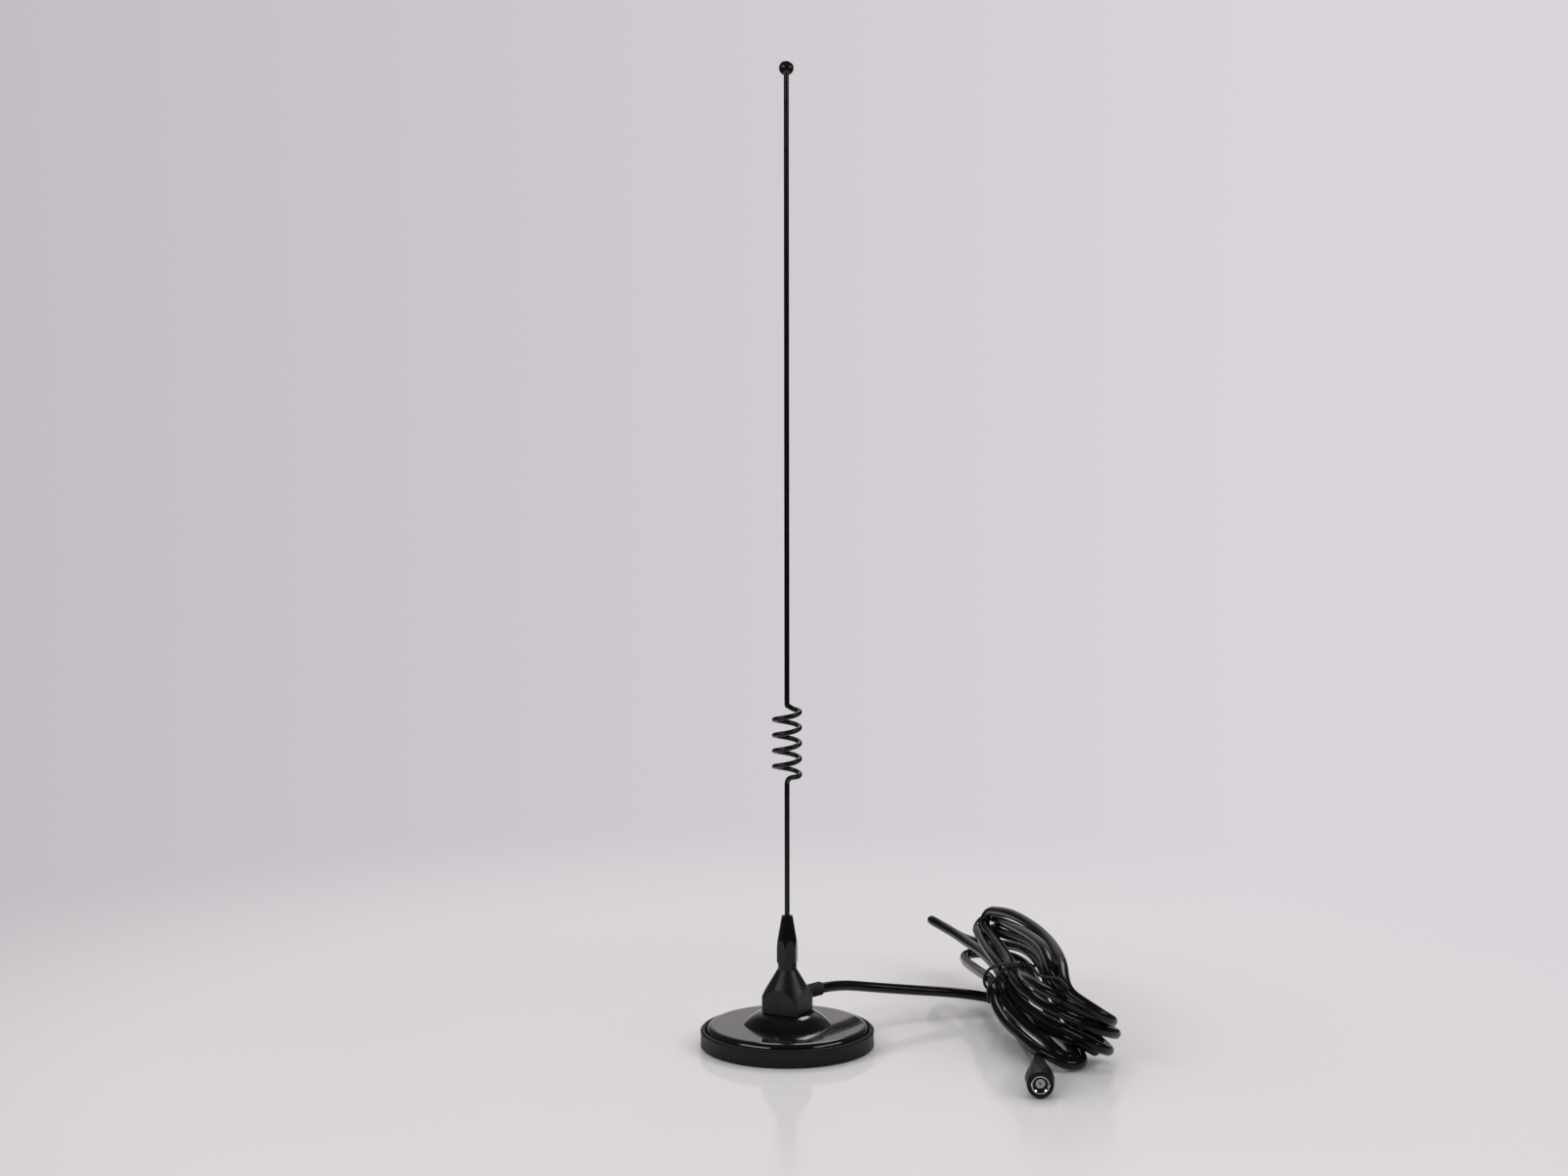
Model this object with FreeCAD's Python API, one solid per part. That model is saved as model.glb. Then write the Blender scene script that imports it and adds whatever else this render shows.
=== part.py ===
"""Magnetic car antenna: a whip with a phasing coil on a magnet base, with a coaxial lead and connector.

Millimetres, +Z up. The origin is the middle of the base on the surface that it stands on.
"""
import FreeCAD, Part
import math
import os

V = FreeCAD.Vector

# Rubber boot
boot_diameter = 82.0
boot_height = 8.2
boot_floor = 1.0
boot_wall = 2.4
boot_waist = 0.15
boot_edge_radius = 0.7
boot_gap = 0.6

# Base cover, magnet and pole plate
cover_sheet = 1.0
cover_rim_radius = 3.0
boss_foot_diameter = 41.2
boss_height = 5.7
boss_seat_diameter = 25.4
boss_bulge = 0.45
magnet_inset = 0.5
magnet_bore = 32.0
magnet_height = 6.2
pole_plate_bore = 24.0
pole_plate_thickness = 2.1

# Hub
hub_width = 19.0
hub_corner_radius = 2.4
hub_height = 20.5
hub_turn = 62.4
hub_top_diameter = 9.0
hub_cone_slope = 0.6
hub_foot_round = 0.7
parting_width = 0.3
parting_depth = 0.12
cavity_diameter = 10.0
cavity_height = 6.0

# Fixing of the hub to the cover
screw_diameter = 5.0
screw_head_diameter = 9.0
screw_head_height = 3.0
screw_slot_width = 1.4
screw_slot_depth = 1.5
insert_diameter = 7.4
insert_height = 3.8
lug_diameter = 10.0
lug_sheet = 0.5
lug_tab_width = 2.6
lug_tab_height = 5.7
lock_washer_diameter = 9.2
lock_washer_thickness = 1.2
lock_washer_split = 0.8
thread_clearance = 0.05

# Socket and whip
socket_diameter = 7.0
socket_depth = 10.5
socket_collar_diameter = 8.9
socket_collar_height = 3.1
socket_tail_diameter = 2.0
socket_tail_length = 2.6
stud_diameter = 5.0
stud_length = 8.0
ferrule_flats = 9.0
ferrule_hex_height = 7.6
ferrule_height = 22.4
ferrule_tip_diameter = 5.2
ferrule_turn = 20.0
ferrule_edge = 0.5
rod_diameter = 2.4
rod_grip_depth = 12.0
whip_height = 455.8
coil_foot = 129.0
coil_turns = 4
coil_pitch = 7.36
coil_diameter = 11.8
coil_lead = 3.4
coil_lead_turn = 70.0
coil_lead_swell = 0.62
coil_lead_shift = 0.4
coil_bend_share = 0.15
coil_bend_height = 2.1
ball_diameter = 6.8
ball_grip_depth = 4.4

# Strain relief and the cable's end in the hub
cable_diameter = 5.0
relief_height = 5.3
relief_diameter = 6.6
relief_core_diameter = 5.7
relief_length = 18.6
relief_turn = 20.6
relief_rib_pitch = 2.3
relief_rib_width = 1.3
relief_plug_diameter = 7.4
relief_plug_depth = 3.0
core_diameter = 2.95
core_gap = 0.4
conductor_diameter = 0.9
pigtail_diameter = 1.4
pigtail_offset = 2.2
fit_clearance = 0.02

# Connector, from the face of its nut backwards along its axis
connector_face = V(109.7, -88.5, 6.4)
connector_back = V(0.0796, 0.9951, 0.0200)
nut_flats = 8.0
nut_length = 8.0
nut_recess = 0.3
nut_face_diameter = 7.8
nut_chamfer = 0.5
nut_mouth_diameter = 7.2
nut_mouth_depth = 0.6
nut_thread_diameter = 6.0
nut_thread_depth = 5.4
nut_neck_diameter = 5.3
contact_diameter = 4.6
contact_setback = 2.4
contact_length = 3.4
neck_length = 3.1
flange_diameter = 6.4
flange_length = 2.2
stem_diameter = 4.0
stem_length = 7.0
insulator_diameter = 4.1
insulator_length = 8.0
pin_diameter = 0.94
pin_reach = 1.5
pin_tail_diameter = 1.3
pin_tail_length = 10.0
ring_diameter = 6.0
ring_thickness = 0.6
ring_groove_depth = 0.2
ring_split = 0.8
crimp_diameter = 6.2
crimp_length = 11.0
running_clearance = 0.1
sleeve_length = 31.0
sleeve_face_diameter = 11.6
sleeve_face_step = 0.6
sleeve_diameter = 13.1
sleeve_shoulder = 10.0
sleeve_flats = 12.1
sleeve_rear_diameter = 7.0
sleeve_rear_depth = 6.0
sleeve_clearance = 0.35

# Cable routes, tie and hank
lead_route = [
    (42.0, 43.0, 16.8), (62.0, 53.0, 12.9), (84.0, 58.5, 10.2), (104.0, 59.0, 7.2),
    (117.0, 49.0, 3.4), (126.0, 30.0, 2.7), (131.5, 10.0, 2.7), (134.5, -10.0, 2.7),
    (135.5, -30.0, 2.7),
]
lead_first_run = 12.0
tail_route = [
    (113.5, 48.0, 25.0), (111.5, 62.0, 20.0), (111.5, 76.0, 16.5), (114.0, 84.0, 14.5),
    (119.0, 82.5, 12.0), (120.0, 70.0, 11.2), (115.5, 55.0, 11.6), (110.5, 43.0, 10.5),
    (108.0, 30.0, 8.0), (108.6, 16.0, 5.0), (110.8, 0.0, 2.9), (112.6, -18.0, 2.7),
    (113.1, -36.0, 3.0),
]
tail_last_run = 22.0
bundle_sections = [(29.0, 105.0, 28.0, 12.0, 7.0, 50.0), (18.0, 106.0, 26.5, 18.0, 12.0, 55.0),
                   (0.0, 109.0, 24.0, 27.0, 13.0, 90.0), (-20.0, 116.0, 22.5, 32.0, 14.0, 100.0),
                   (-38.0, 131.0, 18.5, 40.0, 20.0, 140.0), (-50.0, 136.0, 21.0, 22.0, 10.0, 145.0)]
front_strand_diameter = 5.4
front_strand = [
    (135.4, -27.0, 2.7), (134.0, -42.0, 2.8), (124.0, -47.0, 4.8), (114.0, -39.0, 9.4),
    (107.0, -21.0, 11.4), (101.5, -2.0, 14.0), (99.0, 12.0, 18.5), (99.2, 28.0, 23.5),
]
top_loop_diameter = 8.6
top_loop = [
    (106.0, 20.0, 30.0), (104.0, 42.0, 32.0), (101.5, 68.0, 33.2), (99.0, 99.0, 33.5),
    (102.0, 100.0, 44.5), (108.0, 74.0, 45.2), (114.0, 48.0, 47.0), (119.0, 22.0, 48.3),
    (122.3, -2.0, 48.0), (124.0, -22.0, 45.0), (124.5, -38.0, 40.0), (130.0, -50.0, 34.0),
    (142.0, -55.0, 28.0), (146.0, -46.0, 20.0),
]
inner_loop_diameter = 7.0
inner_loop = [
    (108.5, 20.0, 24.0), (108.8, 44.0, 26.8), (106.0, 68.0, 28.5), (102.5, 90.0, 29.5),
    (104.5, 91.0, 39.0), (109.0, 68.0, 39.0), (114.5, 42.0, 42.0), (118.5, 16.0, 44.0),
    (120.3, -8.0, 43.0), (121.0, -26.0, 37.5), (129.0, -30.0, 26.0), (140.0, -30.0, 14.0),
]
long_loop = [
    (104.0, 14.0, 22.5), (103.5, 40.0, 27.0), (98.0, 84.0, 25.5), (88.0, 124.0, 25.5),
    (76.8, 152.0, 27.4), (85.0, 155.0, 21.5), (93.2, 132.0, 21.2), (100.8, 108.0, 24.0),
    (111.5, 81.0, 28.5), (118.5, 40.0, 34.5), (121.5, 1.0, 35.0), (126.0, -11.0, 24.0),
    (135.5, -20.0, 12.0),
]
short_loop = [
    (99.2, 28.0, 23.5), (96.5, 52.0, 21.5), (94.0, 78.0, 18.5), (92.3, 104.0, 15.8),
    (93.2, 119.0, 15.4), (100.5, 121.5, 16.0), (105.0, 110.0, 16.6), (111.5, 77.0, 25.0),
    (117.0, 55.0, 26.7), (119.0, 18.0, 25.8), (120.0, 1.0, 23.5), (130.0, -26.0, 8.5),
]
tie_diameter = 1.6
tie_route = [
    (96.0, 31.0, 21.0), (96.6, 31.0, 28.0), (102.5, 25.0, 32.3), (106.0, 15.0, 35.6),
    (112.0, 4.0, 38.6), (117.0, -12.0, 37.2), (119.3, -30.0, 39.6), (122.2, -44.0, 41.9),
    (126.3, -51.0, 39.2),
]
tie_knot = (110.5, 4.0, 38.6)
tie_knot_way = (5.0, -2.0, -0.3)
tie_knot_diameter = 3.8
tie_knot_length = 6.0

# Places worked out from the sizes above
cover_diameter = boot_diameter - 2 * (boot_wall + boot_gap)
pole_plate_diameter = cover_diameter - 2 * cover_rim_radius
magnet_diameter = pole_plate_diameter - 2 * magnet_inset
core_length = (hub_width - insert_diameter) / 2 - relief_plug_depth - core_gap
cover_top = boot_floor + magnet_height + pole_plate_thickness + cover_sheet
hub_foot = cover_top + boss_height
hub_top = hub_foot + hub_height
insert_foot = hub_foot + lug_sheet
cavity_foot = insert_foot + insert_height
socket_foot = hub_top - socket_depth
ferrule_foot = hub_top + socket_collar_height
ferrule_top = ferrule_foot + ferrule_height
relief_z = hub_foot + relief_height
neck_diameter = nut_neck_diameter - 2 * running_clearance
neck_front = contact_setback + contact_length
flange_front = neck_front + neck_length
flange_back = flange_front + flange_length
stem_end = flange_back + stem_length
nut_back = nut_recess + nut_length
ring_front = nut_recess + nut_thread_depth + ring_thickness
ring_bore = neck_diameter - 2 * ring_groove_depth


def cylinder(radius, foot, height):
    """An upright cylinder on the axis."""
    return Part.makeCylinder(radius, height, V(0, 0, foot))


def tube(outer, inner, foot, height):
    """An upright tube on the axis, given by its two diameters."""
    return cylinder(outer / 2, foot, height).cut(cylinder(inner / 2, foot, height))


def turned(edges):
    """A solid of revolution about Z from edges in the XZ plane that close on each other."""
    return Part.Face(Part.Wire(edges)).revolve(V(), V(0, 0, 1), 360)


def turned_outline(points):
    """A solid of revolution about Z from (radius, height) points."""
    corners = [V(r, 0, z) for r, z in points]
    return Part.Face(Part.makePolygon(corners + corners[:1])).revolve(V(), V(0, 0, 1), 360)


def hexagon(flats, foot, height, turn=0.0):
    """An upright hexagonal bar on the axis."""
    radius = flats / math.sqrt(3)
    corners = [V(radius * math.cos(math.radians(turn + 60 * i)),
                 radius * math.sin(math.radians(turn + 60 * i)), foot) for i in range(7)]
    return Part.Face(Part.makePolygon(corners)).extrude(V(0, 0, height))


def hub_way(distance, height, side=0.0):
    """A point at a distance from the axis along the hub's cable side."""
    angle = math.radians(hub_turn)
    return V(distance * math.cos(angle) - side * math.sin(angle),
             distance * math.sin(angle) + side * math.cos(angle), height)


def rubber_boot():
    """A shallow rubber cup with a faintly waisted wall and bevelled edges."""
    radius = boot_diameter / 2
    bore = radius - boot_wall
    edge = boot_edge_radius
    wall_foot = V(radius, 0, edge)
    wall_waist = V(radius - boot_waist, 0, 0.6 * boot_height)
    wall_top = V(radius, 0, boot_height - edge)
    edges = [
        Part.makeLine(V(0, 0, 0), V(radius - edge, 0, 0)),
        Part.makeLine(V(radius - edge, 0, 0), wall_foot),
        Part.Arc(wall_foot, wall_waist, wall_top).toShape(),
        Part.makeLine(wall_top, V(radius - edge, 0, boot_height)),
        Part.makeLine(V(radius - edge, 0, boot_height), V(bore + edge, 0, boot_height)),
        Part.makeLine(V(bore + edge, 0, boot_height), V(bore, 0, boot_height - edge)),
        Part.makeLine(V(bore, 0, boot_height - edge), V(bore, 0, boot_floor)),
        Part.makeLine(V(bore, 0, boot_floor), V(0, 0, boot_floor)),
        Part.makeLine(V(0, 0, boot_floor), V(0, 0, 0)),
    ]
    return turned(edges)


def cover_form(inset):
    """The cover's filled outer form, or its inner form at an inset of the sheet's thickness."""
    top = cover_top - inset
    seat = hub_foot - inset
    radius = cover_diameter / 2 - inset
    rim = cover_rim_radius - inset
    foot = boss_foot_diameter / 2 - inset
    shoulder = boss_seat_diameter / 2 - inset / 2
    middle = V((foot + shoulder) / 2 + boss_bulge, 0, (top + seat) / 2 + boss_bulge)
    lean = rim * (1 - math.sqrt(0.5))
    edges = [
        Part.makeLine(V(0, 0, boot_floor), V(0, 0, seat)),
        Part.makeLine(V(0, 0, seat), V(shoulder, 0, seat)),
        Part.Arc(V(shoulder, 0, seat), middle, V(foot, 0, top)).toShape(),
        Part.makeLine(V(foot, 0, top), V(radius - rim, 0, top)),
        Part.Arc(V(radius - rim, 0, top), V(radius - lean, 0, top - lean),
                 V(radius, 0, top - rim)).toShape(),
        Part.makeLine(V(radius, 0, top - rim), V(radius, 0, boot_floor)),
        Part.makeLine(V(radius, 0, boot_floor), V(0, 0, boot_floor)),
    ]
    return turned(edges)


def base_cover():
    """A pressed steel cover with a domed boss and a hole for the fixing screw."""
    shell = cover_form(0).cut(cover_form(cover_sheet))
    return shell.cut(cylinder(screw_diameter / 2 + running_clearance, 0, hub_foot))


def ring_magnet():
    """A ceramic ring magnet on the boot's floor."""
    return tube(magnet_diameter, magnet_bore, boot_floor, magnet_height)


def pole_plate():
    """A steel plate between the magnet and the cover."""
    return tube(pole_plate_diameter, pole_plate_bore, boot_floor + magnet_height, pole_plate_thickness)


def hub_form(inset):
    """The hub's filled form: a rounded square bar under a cone, or the same at an inset."""
    width = hub_width - 2 * inset
    bar = Part.makeBox(width, width, hub_height, V(-width / 2, -width / 2, hub_foot))
    upright = [e for e in bar.Edges if abs(e.tangentAt(e.FirstParameter).z) > 0.5]
    bar = bar.makeFillet(hub_corner_radius, upright)
    bar.rotate(V(), V(0, 0, 1), hub_turn)
    top_radius = hub_top_diameter / 2 - inset
    foot_radius = top_radius + hub_cone_slope * hub_height
    cone = Part.makeCone(foot_radius, top_radius, hub_height, V(0, 0, hub_foot))
    form = bar.common(cone)
    foot_edges = [e for e in form.Edges if e.BoundBox.ZMax < hub_foot + parting_depth]
    return form.makeFillet(hub_foot_round, foot_edges)


def hub_housing():
    """The moulded hub with its parting line and the bores for what it holds."""
    hub = hub_form(0)
    slab = Part.makeBox(2 * hub_width, parting_width, hub_height,
                        V(-hub_width, -parting_width / 2, hub_foot))
    slab.rotate(V(), V(0, 0, 1), hub_turn)
    hub = hub.cut(slab.cut(hub_form(parting_depth)))
    hub = hub.cut(cylinder(lug_diameter / 2, hub_foot, lug_sheet))
    hub = hub.cut(cylinder(insert_diameter / 2, hub_foot, lug_sheet + insert_height))
    hub = hub.cut(cylinder(cavity_diameter / 2, cavity_foot, cavity_height))
    hub = hub.cut(cylinder(socket_diameter / 2, cavity_foot, hub_top - cavity_foot))
    slot = Part.makeBox(2 * lug_sheet, lug_tab_width, cavity_foot - hub_foot,
                        V(lug_diameter / 2 - 2 * lug_sheet, -lug_tab_width / 2, hub_foot))
    slot.rotate(V(), V(0, 0, 1), hub_turn + 180)
    hub = hub.cut(slot)
    return hub.cut(Part.makeCylinder(relief_plug_diameter / 2, hub_width, V(0, 0, relief_z), hub_way(1, 0)))


def hub_insert():
    """A brass insert in the hub's foot for the fixing screw."""
    return tube(insert_diameter, screw_diameter + 2 * thread_clearance, insert_foot, insert_height)


def ground_lug():
    """A ring between the cover and the insert, with a tab that stands up in the hub."""
    ring = tube(lug_diameter, screw_diameter + 2 * thread_clearance, hub_foot, lug_sheet)
    tab = Part.makeBox(lug_sheet, lug_tab_width, lug_tab_height,
                       V(lug_diameter / 2 - 1.5 * lug_sheet, -lug_tab_width / 2, hub_foot))
    tab.rotate(V(), V(0, 0, 1), hub_turn + 180)
    return ring.fuse(tab.common(cylinder(lug_diameter / 2, hub_foot, lug_tab_height))).removeSplitter()


def fixing_screw():
    """A slotted screw from under the cover's boss into the insert."""
    head_top = hub_foot - cover_sheet - lock_washer_thickness
    head = cylinder(screw_head_diameter / 2, head_top - screw_head_height, screw_head_height)
    slot = Part.makeBox(screw_head_diameter, screw_slot_width, screw_slot_depth,
                        V(-screw_head_diameter / 2, -screw_slot_width / 2, head_top - screw_head_height))
    shank_length = lock_washer_thickness + cover_sheet + lug_sheet + insert_height
    shank = cylinder(screw_diameter / 2, head_top, shank_length)
    return head.cut(slot).fuse(shank)


def lock_washer():
    """A split spring washer under the cover."""
    foot = hub_foot - cover_sheet - lock_washer_thickness
    ring = tube(lock_washer_diameter, screw_diameter + 2 * running_clearance, foot, lock_washer_thickness)
    split = Part.makeBox(lock_washer_diameter, lock_washer_split, lock_washer_thickness,
                         V(0, -lock_washer_split / 2, foot))
    return ring.cut(split)


def threaded_socket():
    """The plated socket moulded in the hub, with a collar above and a solder tail below."""
    body = cylinder(socket_diameter / 2, socket_foot, socket_depth)
    collar = cylinder(socket_collar_diameter / 2, hub_top, socket_collar_height)
    tail = cylinder(socket_tail_diameter / 2, socket_foot - socket_tail_length, socket_tail_length)
    bore = cylinder(stud_diameter / 2 + thread_clearance, ferrule_foot - stud_length - ferrule_edge,
                    stud_length + ferrule_edge)
    return body.fuse(collar).fuse(tail).removeSplitter().cut(bore)


def whip_ferrule():
    """A hexagonal ferrule with a long cone, a bore for the rod and a stud."""
    corner = ferrule_flats / math.sqrt(3)
    tip = ferrule_tip_diameter / 2
    hex_top = ferrule_foot + ferrule_hex_height
    outline = turned_outline([
        (0, ferrule_foot),
        (corner - ferrule_edge, ferrule_foot),
        (corner, ferrule_foot + ferrule_edge),
        (corner, hex_top - ferrule_edge),
        (tip, ferrule_top - ferrule_edge / 2),
        (tip - ferrule_edge / 2, ferrule_top),
        (0, ferrule_top),
    ])
    bar = hexagon(ferrule_flats, ferrule_foot, ferrule_height, ferrule_turn)
    stud = cylinder(stud_diameter / 2, ferrule_foot - stud_length, stud_length)
    bore = cylinder(rod_diameter / 2, ferrule_top - rod_grip_depth, rod_grip_depth)
    return bar.common(outline).cut(bore).fuse(stud)


def whip_path():
    """The rod's middle line: straight, a lead out to the coil, the coil, a lead back, straight."""
    radius = coil_diameter / 2
    coil_height = coil_turns * coil_pitch
    coil_top = coil_foot + coil_height
    turn_back = math.radians(coil_lead_turn)
    rise = coil_pitch * turn_back / (2 * math.pi)
    helix = Part.makeHelix(coil_pitch, coil_height, radius)
    helix.translate(V(0, 0, coil_foot))
    slope = coil_pitch / (2 * math.pi)
    low_start = V(0, 0, coil_foot - rise - coil_lead)
    high_end = V(0, 0, coil_top + rise + coil_lead)
    swell = coil_lead_swell * radius
    low_mid = V(swell * math.cos(turn_back / 2), -swell * math.sin(turn_back / 2),
                coil_foot - rise / 2 - coil_lead_shift)
    high_mid = V(low_mid.x, -low_mid.y, coil_top + rise / 2 + coil_lead_shift)
    low_bend = V(coil_bend_share * low_mid.x, coil_bend_share * low_mid.y, low_start.z + coil_bend_height)
    high_bend = V(low_bend.x, -low_bend.y, high_end.z - coil_bend_height)
    low = Part.BSplineCurve()
    low.interpolate(Points=[low_start, low_bend, low_mid, V(radius, 0, coil_foot)],
                    InitialTangent=V(0, 0, 1), FinalTangent=V(0, radius, slope))
    high = Part.BSplineCurve()
    high.interpolate(Points=[V(radius, 0, coil_top), high_mid, high_bend, high_end],
                     InitialTangent=V(0, radius, slope), FinalTangent=V(0, 0, 1))
    return low_start, low, helix, high, high_end


def whip_rod():
    """The coated steel rod with the phasing coil wound in it."""
    low_start, low, helix, high, high_end = whip_path()
    foot = ferrule_top - rod_grip_depth
    top = whip_height - ball_diameter / 2 + ball_grip_depth
    section = Part.Wire(Part.makeCircle(rod_diameter / 2, low_start, V(0, 0, 1)))
    wound = Part.Wire([low.toShape()] + helix.Edges + [high.toShape()])
    coil = wound.makePipeShell([section], True, False)
    lower = cylinder(rod_diameter / 2, foot, low_start.z - foot)
    upper = cylinder(rod_diameter / 2, high_end.z, top - high_end.z)
    return lower.fuse(coil).fuse(upper).removeSplitter()


def tip_ball():
    """The ball on the whip's tip, with a bore for the rod."""
    ball = Part.makeSphere(ball_diameter / 2, V(0, 0, whip_height))
    bore_depth = ball_diameter / 2 + ball_grip_depth
    return ball.cut(cylinder(rod_diameter / 2, whip_height - ball_diameter, bore_depth))


def relief_piece(start, length, diameter):
    """A bent round bar along the strain relief's middle line, from a distance after the hub's face."""
    bend = relief_length / math.radians(relief_turn)
    centre = hub_way(hub_width / 2, relief_z, -bend)
    rim = Part.makeCircle(diameter / 2, hub_way(hub_width / 2, relief_z), hub_way(1, 0))
    disc = Part.Face(Part.Wire(rim))
    disc.rotate(centre, V(0, 0, -1), math.degrees(start / bend))
    return disc.revolve(centre, V(0, 0, -1), math.degrees(length / bend))


def relief_end():
    """The point and the direction at which the cable leaves the strain relief."""
    bend = relief_length / math.radians(relief_turn)
    turn = math.radians(hub_turn - relief_turn)
    centre = hub_way(hub_width / 2, relief_z, -bend)
    way = V(math.cos(turn), math.sin(turn), 0)
    return centre + V(-bend * way.y, bend * way.x, 0), way


def strain_relief():
    """A ribbed boot over the cable, with a plug in the hub's side."""
    face = hub_way(hub_width / 2, relief_z)
    relief = relief_piece(0, relief_length, relief_core_diameter)
    count = int(relief_length / relief_rib_pitch)
    for i in range(count):
        start = relief_length - relief_rib_width - i * relief_rib_pitch
        relief = relief.fuse(relief_piece(start, relief_rib_width, relief_diameter))
    plug = Part.makeCylinder(relief_plug_diameter / 2, relief_plug_depth, face, hub_way(-1, 0))
    relief = relief.fuse(plug).removeSplitter()
    return relief.cut(cable_entry_form(cable_diameter + 2 * fit_clearance))


def cable_entry_form(diameter):
    """A bar along the cable's middle line inside the strain relief and its plug."""
    face = hub_way(hub_width / 2, relief_z)
    inner = Part.makeCylinder(diameter / 2, relief_plug_depth, face, hub_way(-1, 0))
    return inner.fuse(relief_piece(0, relief_length, diameter)).removeSplitter()


def cable_entry():
    """The jacketed cable inside the strain relief."""
    return cable_entry_form(cable_diameter)


def core_insulation():
    """The stripped core of the cable in the hub's cavity."""
    start = hub_way(hub_width / 2 - relief_plug_depth, relief_z)
    bar = Part.makeCylinder(core_diameter / 2, core_length, start, hub_way(-1, 0))
    return bar.cut(Part.makeCylinder(conductor_diameter / 2, core_length, start, hub_way(-1, 0)))


def centre_conductor():
    """The copper conductor, through the core and up beside the socket's solder tail."""
    start = hub_way(hub_width / 2 - relief_plug_depth, relief_z)
    corner = hub_way(socket_tail_diameter / 2 + conductor_diameter / 2, relief_z)
    reach = start.distanceToPoint(corner)
    level = Part.makeCylinder(conductor_diameter / 2, reach, start, hub_way(-1, 0))
    elbow = Part.makeSphere(conductor_diameter / 2, corner)
    upright = Part.makeCylinder(conductor_diameter / 2, socket_foot - relief_z, corner)
    return level.fuse(elbow).fuse(upright).removeSplitter()


def braid_pigtail():
    """The twisted braid, from the cable's jacket round the side of the cavity to the ground lug's tab."""
    radius = pigtail_diameter / 2
    bend = cavity_diameter / 2 - radius - fit_clearance
    height = cavity_foot + radius
    first = math.degrees(math.asin(pigtail_offset / bend))
    tab_side = math.degrees(math.asin(lug_tab_width / 2 / (lug_diameter / 2 - 1.5 * lug_sheet)))
    disc = Part.Face(Part.Wire(Part.makeCircle(radius, V(bend, 0, height), V(0, 1, 0))))
    disc.rotate(V(), V(0, 0, 1), hub_turn + first)
    ring = disc.revolve(V(0, 0, height), V(0, 0, 1), 180 - tab_side - first)
    corner = hub_way(bend * math.cos(math.radians(first)), height, pigtail_offset)
    start = hub_way(hub_width / 2 - relief_plug_depth, height, pigtail_offset)
    stub = Part.makeCylinder(radius, start.distanceToPoint(corner), start, hub_way(-1, 0))
    return ring.fuse(Part.makeSphere(radius, corner)).fuse(stub).removeSplitter()


def along_connector(shape):
    """Moves a shape from the Z axis to the connector's axis."""
    turn = FreeCAD.Rotation(V(0, 0, 1), connector_back)
    shape.Placement = FreeCAD.Placement(connector_face, turn)
    return shape


def connector_place(distance):
    """A point on the connector's axis at a distance behind its face."""
    return connector_face + connector_back * (distance / connector_back.Length)


def coupling_nut():
    """The threaded nut of the connector, bevelled round its mouth and free to turn on the body's neck."""
    corner = 1.1 * nut_flats / math.sqrt(3)
    nut = hexagon(nut_flats, nut_recess, nut_length).common(turned_outline([
        (0, nut_recess),
        (nut_face_diameter / 2, nut_recess),
        (corner, nut_recess + nut_chamfer),
        (corner, nut_back),
        (0, nut_back),
    ]))
    nut = nut.cut(Part.makeCone(nut_mouth_diameter / 2, nut_thread_diameter / 2, nut_mouth_depth,
                                V(0, 0, nut_recess)))
    nut = nut.cut(cylinder(nut_neck_diameter / 2, nut_recess, nut_length))
    nut = nut.cut(cylinder(nut_thread_diameter / 2, nut_recess, nut_thread_depth))
    groove = cylinder(ring_diameter / 2 + running_clearance, ring_front - running_clearance,
                      ring_thickness + 2 * running_clearance)
    return along_connector(nut.cut(groove))


def grip_sleeve():
    """The moulded grip over the nut: a stepped face, flats round its widest part and a tapered tail."""
    face = sleeve_face_diameter / 2
    form = turned_outline([
        (0, 0),
        (face - sleeve_face_step, 0),
        (face - sleeve_face_step, sleeve_face_step),
        (face, sleeve_face_step),
        (sleeve_diameter / 2, sleeve_shoulder),
        (sleeve_rear_diameter / 2 + sleeve_face_step, sleeve_length - sleeve_rear_depth),
        (sleeve_rear_diameter / 2, sleeve_length),
        (0, sleeve_length),
    ])
    form = form.common(hexagon(sleeve_flats, 0, sleeve_length))
    form = form.cut(hexagon(nut_flats, 0, nut_back))
    form = form.cut(cylinder(flange_diameter / 2 + sleeve_clearance, nut_back,
                             sleeve_length - sleeve_rear_depth - nut_back))
    return along_connector(form.cut(cylinder(cable_diameter / 2 + sleeve_clearance, nut_back,
                                             sleeve_length - nut_back)))


def connector_body():
    """The connector's outer contact, neck, flange and stem, bored for the insulator and the core."""
    body = cylinder(contact_diameter / 2, contact_setback, contact_length)
    body = body.fuse(cylinder(neck_diameter / 2, neck_front, neck_length))
    body = body.fuse(cylinder(flange_diameter / 2, flange_front, flange_length))
    body = body.fuse(cylinder(stem_diameter / 2, flange_back, stem_length))
    body = body.cut(tube(neck_diameter, ring_bore, ring_front, ring_thickness))
    body = body.cut(cylinder(insulator_diameter / 2, contact_setback, insulator_length))
    core_bore = cylinder(core_diameter / 2, contact_setback, stem_end - contact_setback)
    return along_connector(body.cut(core_bore))


def connector_insulator():
    """The white insulator round the connector's pin."""
    return along_connector(tube(insulator_diameter, pin_tail_diameter, contact_setback, insulator_length))


def connector_pin():
    """The connector's centre pin with a thicker tail in the insulator."""
    tail = cylinder(pin_tail_diameter / 2, contact_setback, pin_tail_length)
    return along_connector(tail.fuse(cylinder(pin_diameter / 2, contact_setback - pin_reach, pin_reach)))


def retaining_ring():
    """The split ring that holds the nut on the body."""
    ring = tube(ring_diameter, ring_bore, ring_front, ring_thickness)
    split = Part.makeBox(ring_diameter, ring_split, ring_thickness, V(0, -ring_split / 2, ring_front))
    return along_connector(ring.cut(split))


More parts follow.
